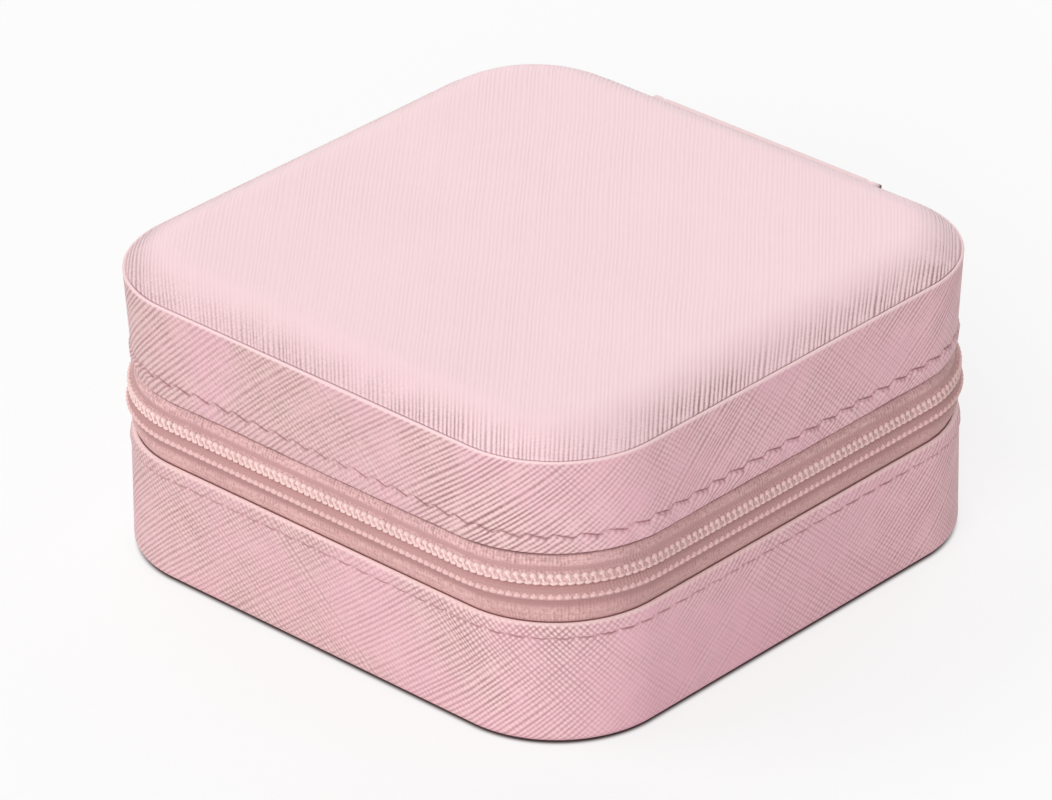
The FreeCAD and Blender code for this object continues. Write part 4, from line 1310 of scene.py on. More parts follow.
@dataclass
class LeatherBands:
    """The leather round the base and the lid, the bottom panel and the rows of stitches.

    Attributes:
        foot: height of the base band's lowest edge.
        base_edge: height of the base band's rolled edge at the zip.
        lid_edge: height of the lid band's rolled edge at the zip.
        seam: height of the lid band's lip under the padded top.
        base_hem: distance from the base band's edge to its stitches.
        lid_hem: distance from the lid band's edge to its stitches.
        thickness: leather thickness.
        turn_under: how far the base band is turned under the bottom.
        step: spacing of the points along the bands.
    """

    foot: float = 0.2
    base_edge: float = 20.25
    lid_edge: float = 31.5
    seam: float = 47.0
    base_hem: float = 2.45
    lid_hem: float = 2.8
    thickness: float = 0.9
    turn_under: float = 7.0
    step: float = 0.44

    def band(
        self, name: str, corners: Sequence[Corner], row: StitchRow, body: Body, finish: Finish, seed: int
    ) -> None:
        """Builds one band with its row of stitches pulled in.

        Args:
            name: the CAD solid that the piece stands for.
            corners: the band's section.
            row: the stitches along its zip edge.
            body: the body that it rides on.
            finish: its leather.
            seed: picks its unevenness.
        """
        profile = section(corners)
        s = CASE.even(self.step)
        n, z = profile[:, :1], profile[:, 1:]
        face = smooth(n, -0.5, -0.1)
        shift = face * (row.relief(s[None], z) + 0.06 * ripple(s[None], z, seed, 38.0))
        skin = Skin()
        skin.sweep(CASE, s, n + shift, np.broadcast_to(z, shift.shape), round_length(profile))
        dress(skin.make(name.replace("_leather", "")), finish, body, name)

    def build(self) -> None:
        """Builds both bands, their threads and the bottom panel."""
        inside = -self.thickness
        base_row = StitchRow(
            self.base_edge - self.base_hem, self.base_edge, slant=0.3, pucker=0.16, groove=0.34,
            gap=0.1, dip=0.25, gauge=0.145, count=100,
        )
        lid_row = StitchRow(
            self.lid_edge + self.lid_hem, self.lid_edge, slant=0.95, pucker=0.36, groove=0.45,
            gap=0.0, dip=0.08, gauge=0.07, count=90,
        )
        self.band(
            "base_band_leather",
            [
                Corner(-self.turn_under, self.foot, 0.2, 1.5),
                Corner(0.0, self.foot, 1.5, 0.8),
                Corner(0.0, self.base_edge - 5.0, 0.0, 0.13),
                Corner(0.0, self.base_edge - 0.1, 0.62, 0.3),
                Corner(inside, self.base_edge - 0.1, 0.25, 3.0),
                Corner(inside, self.foot + self.thickness, 0.4, 2.0),
                Corner(-self.turn_under, self.foot + self.thickness, 0.2, 1.0),
            ],
            base_row, Body.BASE, BAND_LEATHER, 3,
        )
        self.band(
            "lid_band_leather",
            [
                Corner(inside, self.lid_edge, 0.3, 0.3),
                Corner(0.0, self.lid_edge, 0.42, 0.13),
                Corner(0.0, self.lid_edge + 5.0, 0.0, 0.8),
                Corner(0.0, self.seam - 1.2, 0.0, 0.3),
                Corner(0.04, self.seam + 0.12, 0.22, 0.2),
                Corner(-0.5, self.seam + 0.12, 0.2, 0.4),
                Corner(-0.56, self.seam - 1.2, 0.0, 0.4),
                Corner(inside, self.seam - 1.7, 0.0, 3.0),
            ],
            lid_row, Body.LID, LID_LEATHER, 4,
        )
        base_row.thread("base_stitches", Body.BASE)
        lid_row.thread("lid_stitches", Body.LID)
        n = np.array([-49.0, -30.0, -12.0, -8.0, -7.5, -7.32, -7.3, -7.4, -7.7, -12.0, -30.0, -49.0])
        z = np.array([0.0, 0.0, 0.0, 0.0, 0.06, 0.3, 0.7, 0.95, 1.08, 1.1, 1.1, 1.1])
        skin = Skin()
        skin.disc(CASE, CASE.even(1.5), n, z, lambda p: p[..., :2])
        dress(skin.make("base_bottom"), BAND_LEATHER, Body.BASE, "base_bottom_leather")


@dataclass
class PaddedTop:
    """The padded leather top of the lid.

    Attributes:
        foot: height of its lower edge inside the band's lip.
        seam: height of the lip.
        crown: outward places and heights of the curve from inside the lip to the flat of the top.
        dome: extra height in the middle.
        dome_reach: how far from the middle the extra height goes.
    """

    foot: float = 45.4
    seam: float = 47.0
    crown: tuple[tuple[float, float], ...] = (
        (-1.02, 45.9), (-0.95, 46.5), (-0.62, 46.95), (-0.44, 47.3), (-1.25, 47.78), (-2.1, 48.38),
        (-3.4, 49.2), (-4.7, 49.87), (-6.4, 50.51), (-7.7, 50.8), (-9.0, 50.92),
    )
    dome: float = 0.3
    dome_reach: float = 41.0

    def build(self) -> None:
        """Builds the crowned top."""
        crown = flowing(self.crown, 26)
        edge, top = self.crown[-1]
        inner = -np.array([10.0, 12.0, 15.0, 18.0, 22.0, 26.0, 30.0, 34.0, 38.0, 42.0, 46.0, 49.0])
        n = np.concatenate([[-49.0, -30.0, -10.0, -1.6, -1.15], crown[:, 0], inner])
        underside = [self.foot] * 4 + [self.foot + 0.15]
        z = np.concatenate([underside, crown[:, 1], np.full(len(inner), top)])
        s = CASE.even(0.9)
        beyond = run_length(np.stack([n, z], 1))
        start = len(n) - len(inner) - 1
        past = np.where(np.arange(len(n)) < start, beyond[start] - beyond, 0.0)
        flat = CASE.place(s[None], (np.clip(n, CASE.deepest, edge) + past)[:, None], top)
        flat = flat * CASE.shrink(n)[:, None, None]
        x, y = flat[..., 0], flat[..., 1]
        grain = np.stack([y, -x], -1)
        grain = np.concatenate([grain, grain[:, :1]], 1)
        fall = [np.clip(1.0 - (place / self.dome_reach) ** 2, 0.0, 1.0) for place in (x, y)]
        dome = self.dome * fall[0] * fall[1]
        bumps = 0.06 * ripple(x, y, 21, 26.0) * smooth(z, top - 1.6, top)[:, None]
        heights = z[:, None] + (dome + bumps) * (z > self.seam)[:, None]
        skin = Skin()
        skin.disc(CASE, s, n, heights, lambda _: grain)
        piece = dress(skin.make("lid_top"), PAINTED_SHEEN_TOP_LEATHER, Body.LID, "lid_top_leather", "lid_foam_pad")


@dataclass
class ZipChain:
    """The two zip tapes with their braided rows and coils.

    Attributes:
        middle: height of the chain.
        start: length along the outline where the tapes start.
        slider_s: length along the outline of the slider's middle.
        parted: half the opening between the parted tapes.
        pitch: distance between the braid's stitches, and between the coil's turns.
        thickness: thickness of the tapes.
        hem: how far the tapes' hems lie behind the leather's face.
        fold: points of a tape's profile that lie in the fold at the chain.
        step: spacing of the points along the tapes.
    """

    middle: float = 26.5
    start: float = 23.3
    slider_s: float = 69.2
    parted: float = 1.5
    pitch: float = 1.22
    thickness: float = 0.45
    hem: float = 0.9
    fold: int = 10
    step: float = 0.6

    def opening(self, s: Array) -> Array:
        """How far each tape's edge is parted at lengths along the outline."""
        return self.parted * (1.0 - smooth(s, self.slider_s - 4.5, self.slider_s + 1.5))

    def tuck(self, s: Array) -> Array:
        """How far the tape is out of its tucked ends, from 0 at both ends to 1 between them."""
        end = self.start + 5.0
        return smooth(s, self.start, end) * smooth(CASE.length - s, self.start, end)

    def bulge(self, s: Array) -> Array:
        """Share of the tape's bulge that is left at lengths along the outline."""
        return 0.35 + 0.65 * self.tuck(s)

    def profile(self, half: ZipHalf) -> Array:
        """Draws a tape's front from the chain out to its hem.

        Args:
            half: which tape; the lower one shows more of its hem.

        Returns:
            Distances from the middle and outward, row by row.
        """
        bead_bed = [
            (0.10, -0.62), (0.03, -0.4), (0.03, -0.16), (0.18, 0.02), (0.5, 0.32), (0.9, 0.58),
            (1.35, 0.66), (1.8, 0.54), (2.2, 0.18), (2.5, -0.12), (2.8, -0.24),
        ]
        flat = {
            ZipHalf.UPPER: [
                (3.2, -0.23), (3.7, -0.34), (4.3, -0.68), (4.7, -0.95), (5.6, -1.0), (7.0, -1.0), (9.8, -1.0),
            ],
            ZipHalf.LOWER: [
                (3.2, -0.24), (3.7, -0.2), (4.2, -0.12), (4.6, -0.16), (4.9, -0.36), (5.3, -0.48),
                (5.7, -0.62), (6.2, -0.92), (7.2, -1.0), (9.8, -1.0),
            ],
        }
        return flowing(bead_bed + flat[half], 72)

    def tape(self, name: str, half: ZipHalf, body: Body) -> None:
        """Builds one tape.

        Args:
            name: the CAD solid that the piece stands for.
            half: which tape.
            body: the body that it rides on.
        """
        front = self.profile(half)
        back = front[::-1] - [0.0, self.thickness]
        back[:, 0] = np.maximum(back[:, 0], 0.12)
        line = np.concatenate([front, back])
        lengths = round_length(line)
        count = int((CASE.length - 2.0 * self.start) / self.step)
        s = np.linspace(self.start, CASE.length - self.start, count)
        spread = self.opening(s)[None] * (1.0 - smooth(line[:, :1], 2.0, 4.6))
        out = line[:, 1:]
        n = np.where(out > -self.hem, -self.hem + (out + self.hem) * self.bulge(s)[None], out)
        z = self.middle + half.value * (line[:, :1] + spread)
        n = n + 0.03 * ripple(s[None], z, 31 + half.value, 17.0) * (line[:, :1] < 5.0)
        if half is ZipHalf.UPPER:
            n, z, lengths = n[::-1], z[::-1], lengths[-1] - lengths[::-1]
        skin = Skin()
        skin.sweep(CASE, s, n[::-1], z[::-1], lengths, along=False)
        dress(skin.make(f"woven_{name}"), ZIP_TAPE if half is ZipHalf.UPPER else SHADED_LOWER_TAPE, body, name)

    def laid(self, s: Array, t: Array, half: ZipHalf) -> tuple[Array, Array]:
        """Lays thread on the front of a tape.

        Args:
            s: lengths along the outline, in rows.
            t: distances from the chain's middle.
            half: which tape.

        Returns:
            The places, and the outward directions there.
        """
        front = self.profile(half)[self.fold :]
        n = np.interp(t, front[:, 0], front[:, 1]) + 0.02
        n = n * self.bulge(s) - 0.58 * (1.0 - self.tuck(s))
        return CASE.place(s, n, self.middle + half.value * (t + self.opening(s))), CASE.outward(s)

    def braid(self, name: str, half: ZipHalf, body: Body) -> None:
        """Builds a tape's chain stitches: lines of beads and the legs that run between them.

        Args:
            name: the piece's name.
            half: which tape.
            body: the body that it rides on.
        """
        first, last = self.start + 2.0, CASE.length - self.start - 2.0
        turns = int((last - first) / self.pitch)
        s = first + (last - first) * (np.arange(turns)[:, None] + 0.5) / turns
        share = np.linspace(-1.0, 1.0, 7)[None]
        oval = np.sqrt(np.clip(1.0 - share[0] ** 2, 0.05, 1.0))
        even = np.ones(7)
        if half is ZipHalf.UPPER:
            strands = [
                (s + 0.48 * share, 1.88 + 0.12 * share, 0.43 * oval),
                (s + 0.45 + 0.6 * share, 0.66 + 0.12 * share, 0.35 * oval),
                (s + 0.22 + 0.22 * share, 1.28 - 0.6 * share, 0.17 * even),
            ]
        else:
            strands = [
                (s + 0.6 * share, 1.48 - 0.1 * share, 0.36 * oval),
                (s + 0.1 * share, 1.15 - 0.2 * share, 0.2 * oval),
            ]
        skin = Skin()
        for along, across, radii in strands:
            skin.tubes(*self.laid(along, across, half), radii, 8, 0.75)
        dress(skin.make(name), ZIP_BRAID if half is ZipHalf.UPPER else SHADED_LOWER_BRAID, body)

    def coil(self, name: str, half: ZipHalf, body: Body) -> None:
        """Builds a tape's coil behind it.

        Args:
            name: the CAD solid that the piece stands for.
            half: which tape; the upper coil's turns fall between those of the lower one.
            body: the body that it rides on.
        """
        first, last = self.start + 6.0, CASE.length - self.start - 2.0
        turns = int((last - first) / self.pitch)
        angle = np.linspace(0.0, 2.0 * math.pi * turns, turns * 12 + 1)
        offset = 0.5 * self.pitch if half is ZipHalf.UPPER else 0.0
        s = first + (last - first) * angle / angle[-1] + offset
        flat = np.stack([np.cos(angle), np.sin(angle)], -1)
        t = 0.72 + 0.62 * flat[:, 0] + self.opening(s) + 0.1
        n = -0.62 + 0.38 * flat[:, 1]
        path = CASE.place(s, n, self.middle + half.value * t)
        across = np.concatenate([CASE.walk(s)[1] * flat[:, 1:], half.value * flat[:, :1]], 1)
        skin = Skin()
        skin.tubes(path[None], across[None], np.full(len(s), 0.2), 5)
        dress(skin.make(f"wound_{name}"), ZIP_COIL, body, name)

    def build(self) -> None:
        """Builds both halves of the zip and finishes its metal parts."""
        for half, body in ((ZipHalf.LOWER, Body.BASE), (ZipHalf.UPPER, Body.LID)):
            word = half.name.lower()
            self.tape(f"zip_tape_{word}", half, body)
            self.braid(f"zip_braid_{word}", half, body)
            self.coil(f"zip_coil_{word}", half, body)
        paint_solids(METAL, "zip_stop_lower", "zip_stop_upper", "zip_slider", "pull_tab")


# Distances in from a sheet's cut edge: where it is rounded, and where evenly spaced points start.
SHEET_EDGE = np.array([0.0, 0.06, 0.2, 0.45, 0.8, 1.4, 2.0, 2.6])
SHEET_EVEN = 3.4


@dataclass
class BackHinge:
    """The leather panel across the back that the lid turns on, and the fabric gusset inside it.

    Attributes:
        half: half the panel's width.
        foot: height of its lower edge.
        head: height of its top, where it turns over the lid's lip.
        lip: height of the lip.
        face: outward place of its outer face.
        inside: outward place of its inner face.
        rounding: rounding of its turn over the lip.
        flap: outward places of the rows on the lip.
        border_inset: how far its border of stitches stands in from its edge.
        border_stitches: stitches on each side of the border.
        axis: height of the crease that the lid turns about.
        reach: how far above and below the crease a bend would reach; not used.
        bend_line: place of the crease, back from the middle of the case; not used.
        gusset_half: half the gusset's width.
        gusset_rows: heights of the gusset's rows, as first, last and step.
        gusset_faces: outward places of its two faces.
    """

    half: float = 23.0
    foot: float = 4.0
    head: float = 47.34
    lip: float = 47.02
    face: float = 0.9
    inside: float = 0.02
    rounding: float = 0.6
    flap: tuple[float, ...] = (0.1, -0.2, -0.5, -0.68, -0.78)
    border_inset: float = 2.0
    border_stitches: int = 10
    axis: float = 26.5
    reach: float = 4.0
    bend_line: float = 50.45
    gusset_half: float = 22.7
    gusset_rows: tuple[float, float, float] = (16.5, 36.51, 0.4)
    gusset_faces: tuple[float, float] = (-0.95, -1.45)

    def join(self, piece: bpy.types.Object, finish: Finish, *nodes: str) -> None:
        """Paints a piece between the base and the lid, bakes its place into its mesh and hides the solids
        that it replaces.

        Args:
            piece: the piece.
            finish: what it is made of.
            nodes: the solids that it replaces.
        """
        paint(piece, finish)
        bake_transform(piece)
        if nodes:
            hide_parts(*nodes)
        LOG.info("%s: %s between base and lid", piece.name, finish.name)

    def sheet(self, half: float, outer: Array, inner: Array, relief: Callable[[Array, Array], Array]) -> Skin:
        """Builds a sheet across the back from a line up its outside and one up its inside.

        Args:
            half: half its width.
            outer: outward place and height of each row of the outer face.
            inner: the same for the inner face.
            relief: how far the outer face is pressed in, from the places across and the lengths up.

        Returns:
            The skin of the sheet.
        """
        even = np.linspace(SHEET_EVEN - half, half - SHEET_EVEN, 46)
        x = np.concatenate([SHEET_EDGE - half, even, (half - SHEET_EDGE)[::-1]])
        gx, up = np.meshgrid(x, run_length(outer))
        across = np.gradient(outer, axis=0)
        across /= np.linalg.norm(across, axis=1)[:, None]
        press = relief(gx, up)
        n = outer[:, :1] - press * across[:, 1:]
        z = outer[:, 1:] + press * across[:, :1]
        front = np.stack([-gx, CASE.half + n, z], -1)
        behind = [np.broadcast_to(v, gx.shape) for v in (CASE.half + inner[:, :1], inner[:, 1:])]
        back = np.stack([-gx, *behind], -1)
        skin = Skin()
        skin.slab(front, back, np.stack([gx, up], -1))
        return skin

    def build(self) -> None:
        """Builds the panel with its stitched border, and the gusset."""
        bend = np.linspace(0.0, 0.5 * math.pi, 6)
        even = np.arange(self.foot + SHEET_EVEN, self.head - 1.0, 0.5)
        z = np.concatenate([self.foot + SHEET_EDGE, even])
        over = np.stack(
            [
                self.face - self.rounding * (1.0 - np.cos(bend)),
                self.head - self.rounding * (1.0 - np.sin(bend)),
            ],
            1,
        )
        flap = np.stack([self.flap, np.full(len(self.flap), self.head)], 1)
        outer = np.concatenate([np.stack([np.full(len(z), self.face), z], 1), over, flap])
        rows = np.concatenate([np.full(len(z) + len(bend), self.inside), np.minimum(self.flap, self.inside)])
        lips = np.full(len(bend) + len(flap), self.lip)
        inner = np.stack([rows, np.concatenate([np.minimum(z, self.lip), lips])], 1)
        panel = self.sheet(self.half, outer, inner, self.relief)
        self.join(panel.make("hinge_panel"), HINGE_LEATHER, "hinge_leather")
        self.join(self.border().make("hinge_stitches"), CREASE_SHADE_THREAD)
        self.end_shade()
        fold = np.arange(*self.gusset_rows)
        lines = [np.stack([np.full(len(fold), n), fold], 1) for n in self.gusset_faces]
        crease = self.axis - self.gusset_rows[0]
        gusset = self.sheet(self.gusset_half, *lines, lambda gx, up: 0.08 * bell(up - crease, 0.7) + 0.0 * gx)
        self.join(gusset.make("woven_gusset"), GUSSET_CLOTH, "hinge_gusset")

    def relief(self, across: Array, up: Array) -> Array:
        """Works out the panel's soft edges, the border pulled in by its stitches and the crease.

        Args:
            across: places across the panel.
            up: lengths up it.

        Returns:
            How far its outer face is pressed in.
        """
        rim = np.minimum(self.half - np.abs(across), up)
        past = 1.0 - np.clip(rim / 0.45, 0.0, 1.0)
        fall = 0.42 * (1.0 - np.sqrt(np.clip(1.0 - past**2, 0.0, 1.0)))
        crease = 0.4 * bell(up - (self.axis - self.foot), 0.6)
        return fall + 0.16 * bell(rim - self.border_inset, 0.4) + crease

    def end_shade(self) -> None:
        """Lays dark thread round each end of the panel's head, as painted shade on its end faces."""
        round_end = flowing([(-0.7, 0.93), (-0.12, 0.9), (0.08, 0.6), (0.1, 0.3), (0.05, 0.02)], 11)
        drops = np.array([0.5, 0.82, 1.14, 1.46])
        skin = Skin()
        for side in (-1.0, 1.0):
            x = side * (self.half + round_end[None, :, 0]) + 0.0 * drops[:, None]
            y = CASE.half + round_end[None, :, 1] + 0.0 * drops[:, None]
            paths = np.stack([x, y, self.head - drops[:, None] + 0.0 * x], -1)
            across = np.broadcast_to([0.0, 0.0, 1.0], paths.shape)
            skin.tubes(paths, across, np.full(len(round_end), 0.14), 8)
        dress(skin.make("hinge_tacks"), END_SHADE_THREAD, Body.LID)

    def border(self) -> Skin:
        """Sews stitches along the panel's two sides and foot.

        Returns:
            The skin of the stitches.
        """
        share = np.linspace(0.0, 1.0, 7)
        skin = Skin()
        radii = 0.2 * np.sqrt(np.clip(1.0 - (2.0 * share - 1.0) ** 4, 0.04, 1.0))
        arch = 0.32 * np.sin(math.pi * share)[None] ** 0.6
        width, low, high = self.half - self.border_inset, self.foot + self.border_inset, self.head - 1.2
        feet, heads = ([np.array([x, z]) for x in (-width, width)] for z in (low, high))
        for first, last in (feet, (feet[0], heads[0]), (feet[1], heads[1])):
            t = (np.arange(self.border_stitches)[:, None] + 0.1 + 0.8 * share[None]) / self.border_stitches
            flat = first + (last - first) * t[..., None]
            n = self.face - 0.3 + arch - 0.4 * bell(flat[..., 1] - self.axis, 0.6)
            paths = np.stack([flat[..., 0], CASE.half + n, flat[..., 1]], -1)
            across = np.broadcast_to([0.0, 1.0, 0.0], paths.shape)
            skin.tubes(paths, across, radii)
        return skin


# Outward places of a wall lining's back, of its rim over the inner frame and of its velvet face.
LINING_BACK = -4.4
LINING_RIM = -3.1
LINING_FACE = -5.1
# How far a lining panel's edge stands in from the face of the leather.
PANEL_INSET = 5.15


@dataclass
class VelvetTray:
    """The velvet inside of the base: wall and floor linings, dividers and ring rolls.

    Attributes:
        floor: height of the lined floor.
        foot: height of the wall lining's foot.
        frame_top: height of the inner frame's top, which the lining is rolled over.
        rim: height of the lining's rolled rim.
        panel_foot: height of the floor lining's underside.
        divider_height: height of the dividers above the floor.
        long_divider: places of the long divider's two faces, front to back.
        short_dividers: places of the short dividers' faces, left to right.
        short_end: place of the short dividers' back end.
        roll_width: width of a ring roll.
        roll_height: height of a ring roll.
        roll_gap: distance from one roll to the next.
        roll_half: half a roll's length.
        back: outermost place of the last roll.
        rolls: number of rolls.
        stuffing_scale: times life size at which a roll is stuffed.
        stuffing_frames: frames that the stuffing takes.
        glued_height: height up to which a roll's foot is held while it is stuffed.
        give: how far the stuffing may move a roll's cloth.
    """

    floor: float = 3.8
    foot: float = 3.15
    frame_top: float = 25.65
    rim: float = 26.3
    panel_foot: float = 3.12
    divider_height: float = 17.0
    long_divider: tuple[float, float] = (4.2, 6.6)
    short_dividers: tuple[tuple[float, float], ...] = ((-16.57, -14.17), (14.17, 16.57))
    short_end: float = 4.1
    roll_width: float = 9.2
    roll_height: float = 16.0
    roll_gap: float = 9.5
    roll_half: float = 44.6
    back: float = 44.6
    rolls: int = 4
    stuffing_scale: float = 10.0
    stuffing_frames: int = 18
    glued_height: float = 0.4
    give: float = 1.2

    def build(self) -> None:
        """Builds the linings, the dividers and the rolls."""
        profile = section(
            [
                Corner(LINING_BACK, self.foot, 0.0, 4.0),
                Corner(LINING_BACK, self.frame_top, 0.1, 0.4),
                Corner(LINING_RIM, self.frame_top, 0.2, 0.3),
                Corner(LINING_RIM, self.rim, 0.3, 0.4),
                Corner(LINING_FACE, self.rim, 0.55, 2.5),
                Corner(LINING_FACE, self.foot, 0.0, 0.5),
            ]
        )
        wall_lining("base_wall_lining", profile, Body.BASE)
        lining_panel("base_floor_lining", self.panel_foot, self.floor, True, Body.BASE)
        half = self.roll_half
        self.divider("long_divider", (-half, half), self.long_divider, False)
        for word, faces in zip(("left", "right"), self.short_dividers):
            self.divider(f"short_divider_{word}", (-half, self.short_end), faces, True)
        form = self.roll_form()
        for k in range(self.rolls):
            middle = self.back - self.roll_gap * k - 0.5 * self.roll_width
            self.ring_roll(f"ring_roll_{k + 1}", form, middle, k % 2 == 1)

    def divider(self, name: str, run: tuple[float, float], across: tuple[float, float], turned: bool) -> None:
        """Builds a velvet-covered divider with a rolled top.

        Args:
            name: the CAD solid that the piece stands for.
            run: where it starts and ends along its length.
            across: its two faces.
            turned: whether it runs front to back.
        """
        low, high = across
        first, last = run
        top = self.floor + self.divider_height
        outline = section(
            [
                Corner(low, self.floor, 0.0, 2.0),
                Corner(low, top, 1.1, 0.5),
                Corner(high, top, 1.1, 2.0),
                Corner(high, self.floor, 0.0, 1.0),
            ]
        )
        end = np.array([0.0, 0.15, 0.5])
        along = np.concatenate([first + end, np.linspace(first + 1.5, last - 1.5, 30), last - end[::-1]])
        near = np.minimum(along - first, last - along)
        pinch = 1.0 - 0.12 * (1.0 - np.clip(near / 0.5, 0.0, 1.0)) ** 2
        middle = 0.5 * (low + high)
        wide = middle + (outline[:, :1] - middle) * pinch[None]
        soft = 0.06 * ripple(along[None], wide, 61, 24.0)
        tall = np.broadcast_to(outline[:, 1:], wide.shape) + soft * (outline[:, 1:] > top - 2.0)
        length = np.broadcast_to(along[None], wide.shape)
        if turned:
            points = np.stack([wide, length, tall], -1)
        else:
            points = np.stack([length, wide, tall], -1)[:, ::-1]
        skin = Skin()
        skin.grid(points, np.stack(np.meshgrid(along, round_length(outline)), -1), around=True)
        skin.cap(len(outline), len(along), outline)
        dress(skin.make(f"velvet_{name}"), VELVET, Body.BASE, name)

    def roll_skin(self) -> tuple[Skin, int, int]:
        """Lofts a roll's case before it is stuffed.

        Returns:
            The skin about the middle of the roll's foot, and its rows and columns.
        """
        width, height = self.roll_width - 0.9, self.roll_height - 0.7
        outline = section(
            [
                Corner(0.5 * width, 0.0, 0.6, 1.0),
                Corner(0.5 * width, height, 0.46 * width, 1.0),
                Corner(-0.5 * width, height, 0.46 * width, 1.0),
                Corner(-0.5 * width, 0.0, 0.6, 1.0),
            ]
        )
        share = np.linspace(-1.0, 1.0, 61)
        x = self.roll_half * np.sin(0.5 * math.pi * share)
        rounding = 2.2
        past = np.clip((np.abs(x) - self.roll_half + rounding) / rounding, 0.0, 1.0)
        ends = np.sqrt(np.clip(1.0 - past**2, 0.1, 1.0))
        y = outline[:, :1] * (0.75 + 0.25 * ends)[None]
        z = outline[:, 1:] * (0.85 + 0.15 * ends)[None]
        points = np.stack([np.broadcast_to(x[None], y.shape), y, z], -1)
        skin = Skin()
        skin.grid(points[:, ::-1], np.stack(np.meshgrid(x, round_length(outline)), -1), around=True)
        skin.cap(len(outline), len(x), outline)
        return skin, len(outline), len(x)

    def roll_form(self) -> Array:
        """Stuffs one roll by cloth simulation.

        Returns:
            The stuffed roll's points about the middle of its foot.
        """
        skin = self.roll_skin()[0]
        rest = np.concatenate(skin.points)
        piece = skin.make("roll_form")
        piece.data.transform(Matrix.Scale(self.stuffing_scale, 4))
        pins = piece.vertex_groups.new(name="glued_foot")
        pins.add([int(k) for k in np.flatnonzero(rest[:, 2] < self.glued_height)], 1.0, "REPLACE")
        cloth = piece.modifiers.new("stuffing", "CLOTH")
        cloth.settings.vertex_group_mass = pins.name
        cloth.settings.use_pressure = True
        cloth.settings.uniform_pressure_force = 6.0
        cloth.settings.tension_stiffness = 12.0
        cloth.settings.compression_stiffness = 12.0
        cloth.settings.bending_stiffness = 0.6
        cloth.settings.effector_weights.gravity = 0.0
        scene = bpy.context.scene
        for step in range(1, self.stuffing_frames + 1):
            scene.frame_set(step)
        stuffed = piece.evaluated_get(bpy.context.evaluated_depsgraph_get()).to_mesh()
        moved = np.zeros(len(rest) * 3, np.float32)
        stuffed.vertices.foreach_get("co", moved)
        scene.frame_set(1)
        bpy.data.objects.remove(piece)
        moved = moved.reshape(-1, 3) / (self.stuffing_scale * MM)
        shift = moved - rest
        far = np.linalg.norm(shift, axis=1, keepdims=True)
        form = rest + shift * np.minimum(1.0, self.give / np.maximum(far, 1e-6))
        limit = np.array([self.roll_half, 0.5 * self.roll_width + 0.1, self.roll_height])
        return np.clip(form, [-limit[0], -limit[1], 0.0], limit)

    def ring_roll(self, name: str, form: Array, middle: float, mirrored: bool) -> None:
        """Places one stuffed roll.

        Args:
            name: the CAD solid that the piece stands for.
            form: the stuffed shape.
            middle: the place of its middle, front to back.
            mirrored: whether the form is turned end for end.
        """
        skin, rows, columns = self.roll_skin()
        points = form.reshape(rows, columns, 3)
        if mirrored:
            points = points[:, ::-1] * [-1.0, 1.0, 1.0]
        x, y, z = points[..., 0], points[..., 1], points[..., 2]
        sag = 0.12 * ripple(x, 0.0 * x + 7.0 * middle, 71, 30.0) * smooth(z, 0.5, self.roll_height)
        skin.points = [np.stack([x, middle + y, self.floor + z + np.minimum(sag, 0.1)], -1).reshape(-1, 3)]
        roll = dress(skin.make(f"velvet_{name}"), VELVET, Body.BASE, name)


def wall_lining(name: str, profile: Array, body: Body) -> None:
    """Builds a velvet wall lining with its rolled rim.

    Args:
        name: the CAD solid that the piece stands for.
        profile: its section.
        body: the body that it rides on.
    """
    s = INSIDE.even(1.0)
    soft = 0.05 * ripple(s[None], 2.0 * profile[:, 1:], 81, 16.0)
    heights = np.broadcast_to(profile[:, 1:], soft.shape)
    skin = Skin()
    skin.sweep(INSIDE, s, profile[:, :1] + soft, heights, round_length(profile))
    dress(skin.make(f"velvet_{name}"), VELVET, body, name)


def lining_panel(name: str, low: float, high: float, faces_up: bool, body: Body) -> None:
    """Builds a flat velvet panel with soft edges.

    Args:
        name: the CAD solid that the piece stands for.
        low: height of its underside.
        high: height of its top.
        faces_up: whether the velvet faces up.
        body: the body that it rides on.
    """
    rings = np.array([49.0, 40.0, 30.0, 20.0, 12.0, 8.0])
    edge = [PANEL_INSET + 0.1, PANEL_INSET, PANEL_INSET, PANEL_INSET + 0.2]
    n = -np.concatenate([rings, edge, rings[::-1]])
    up = np.concatenate([np.zeros(len(rings)), [0.0, 0.1, 0.75, 0.95], np.ones(len(rings))])
    if not faces_up:
        up = 1.0 - up[::-1]
        n = n[::-1]
    skin = Skin()
    skin.disc(INSIDE, INSIDE.even(1.5), n, low + (high - low) * up, lambda p: p[..., :2])
    dress(skin.make(f"velvet_{name}"), VELVET, body, name)


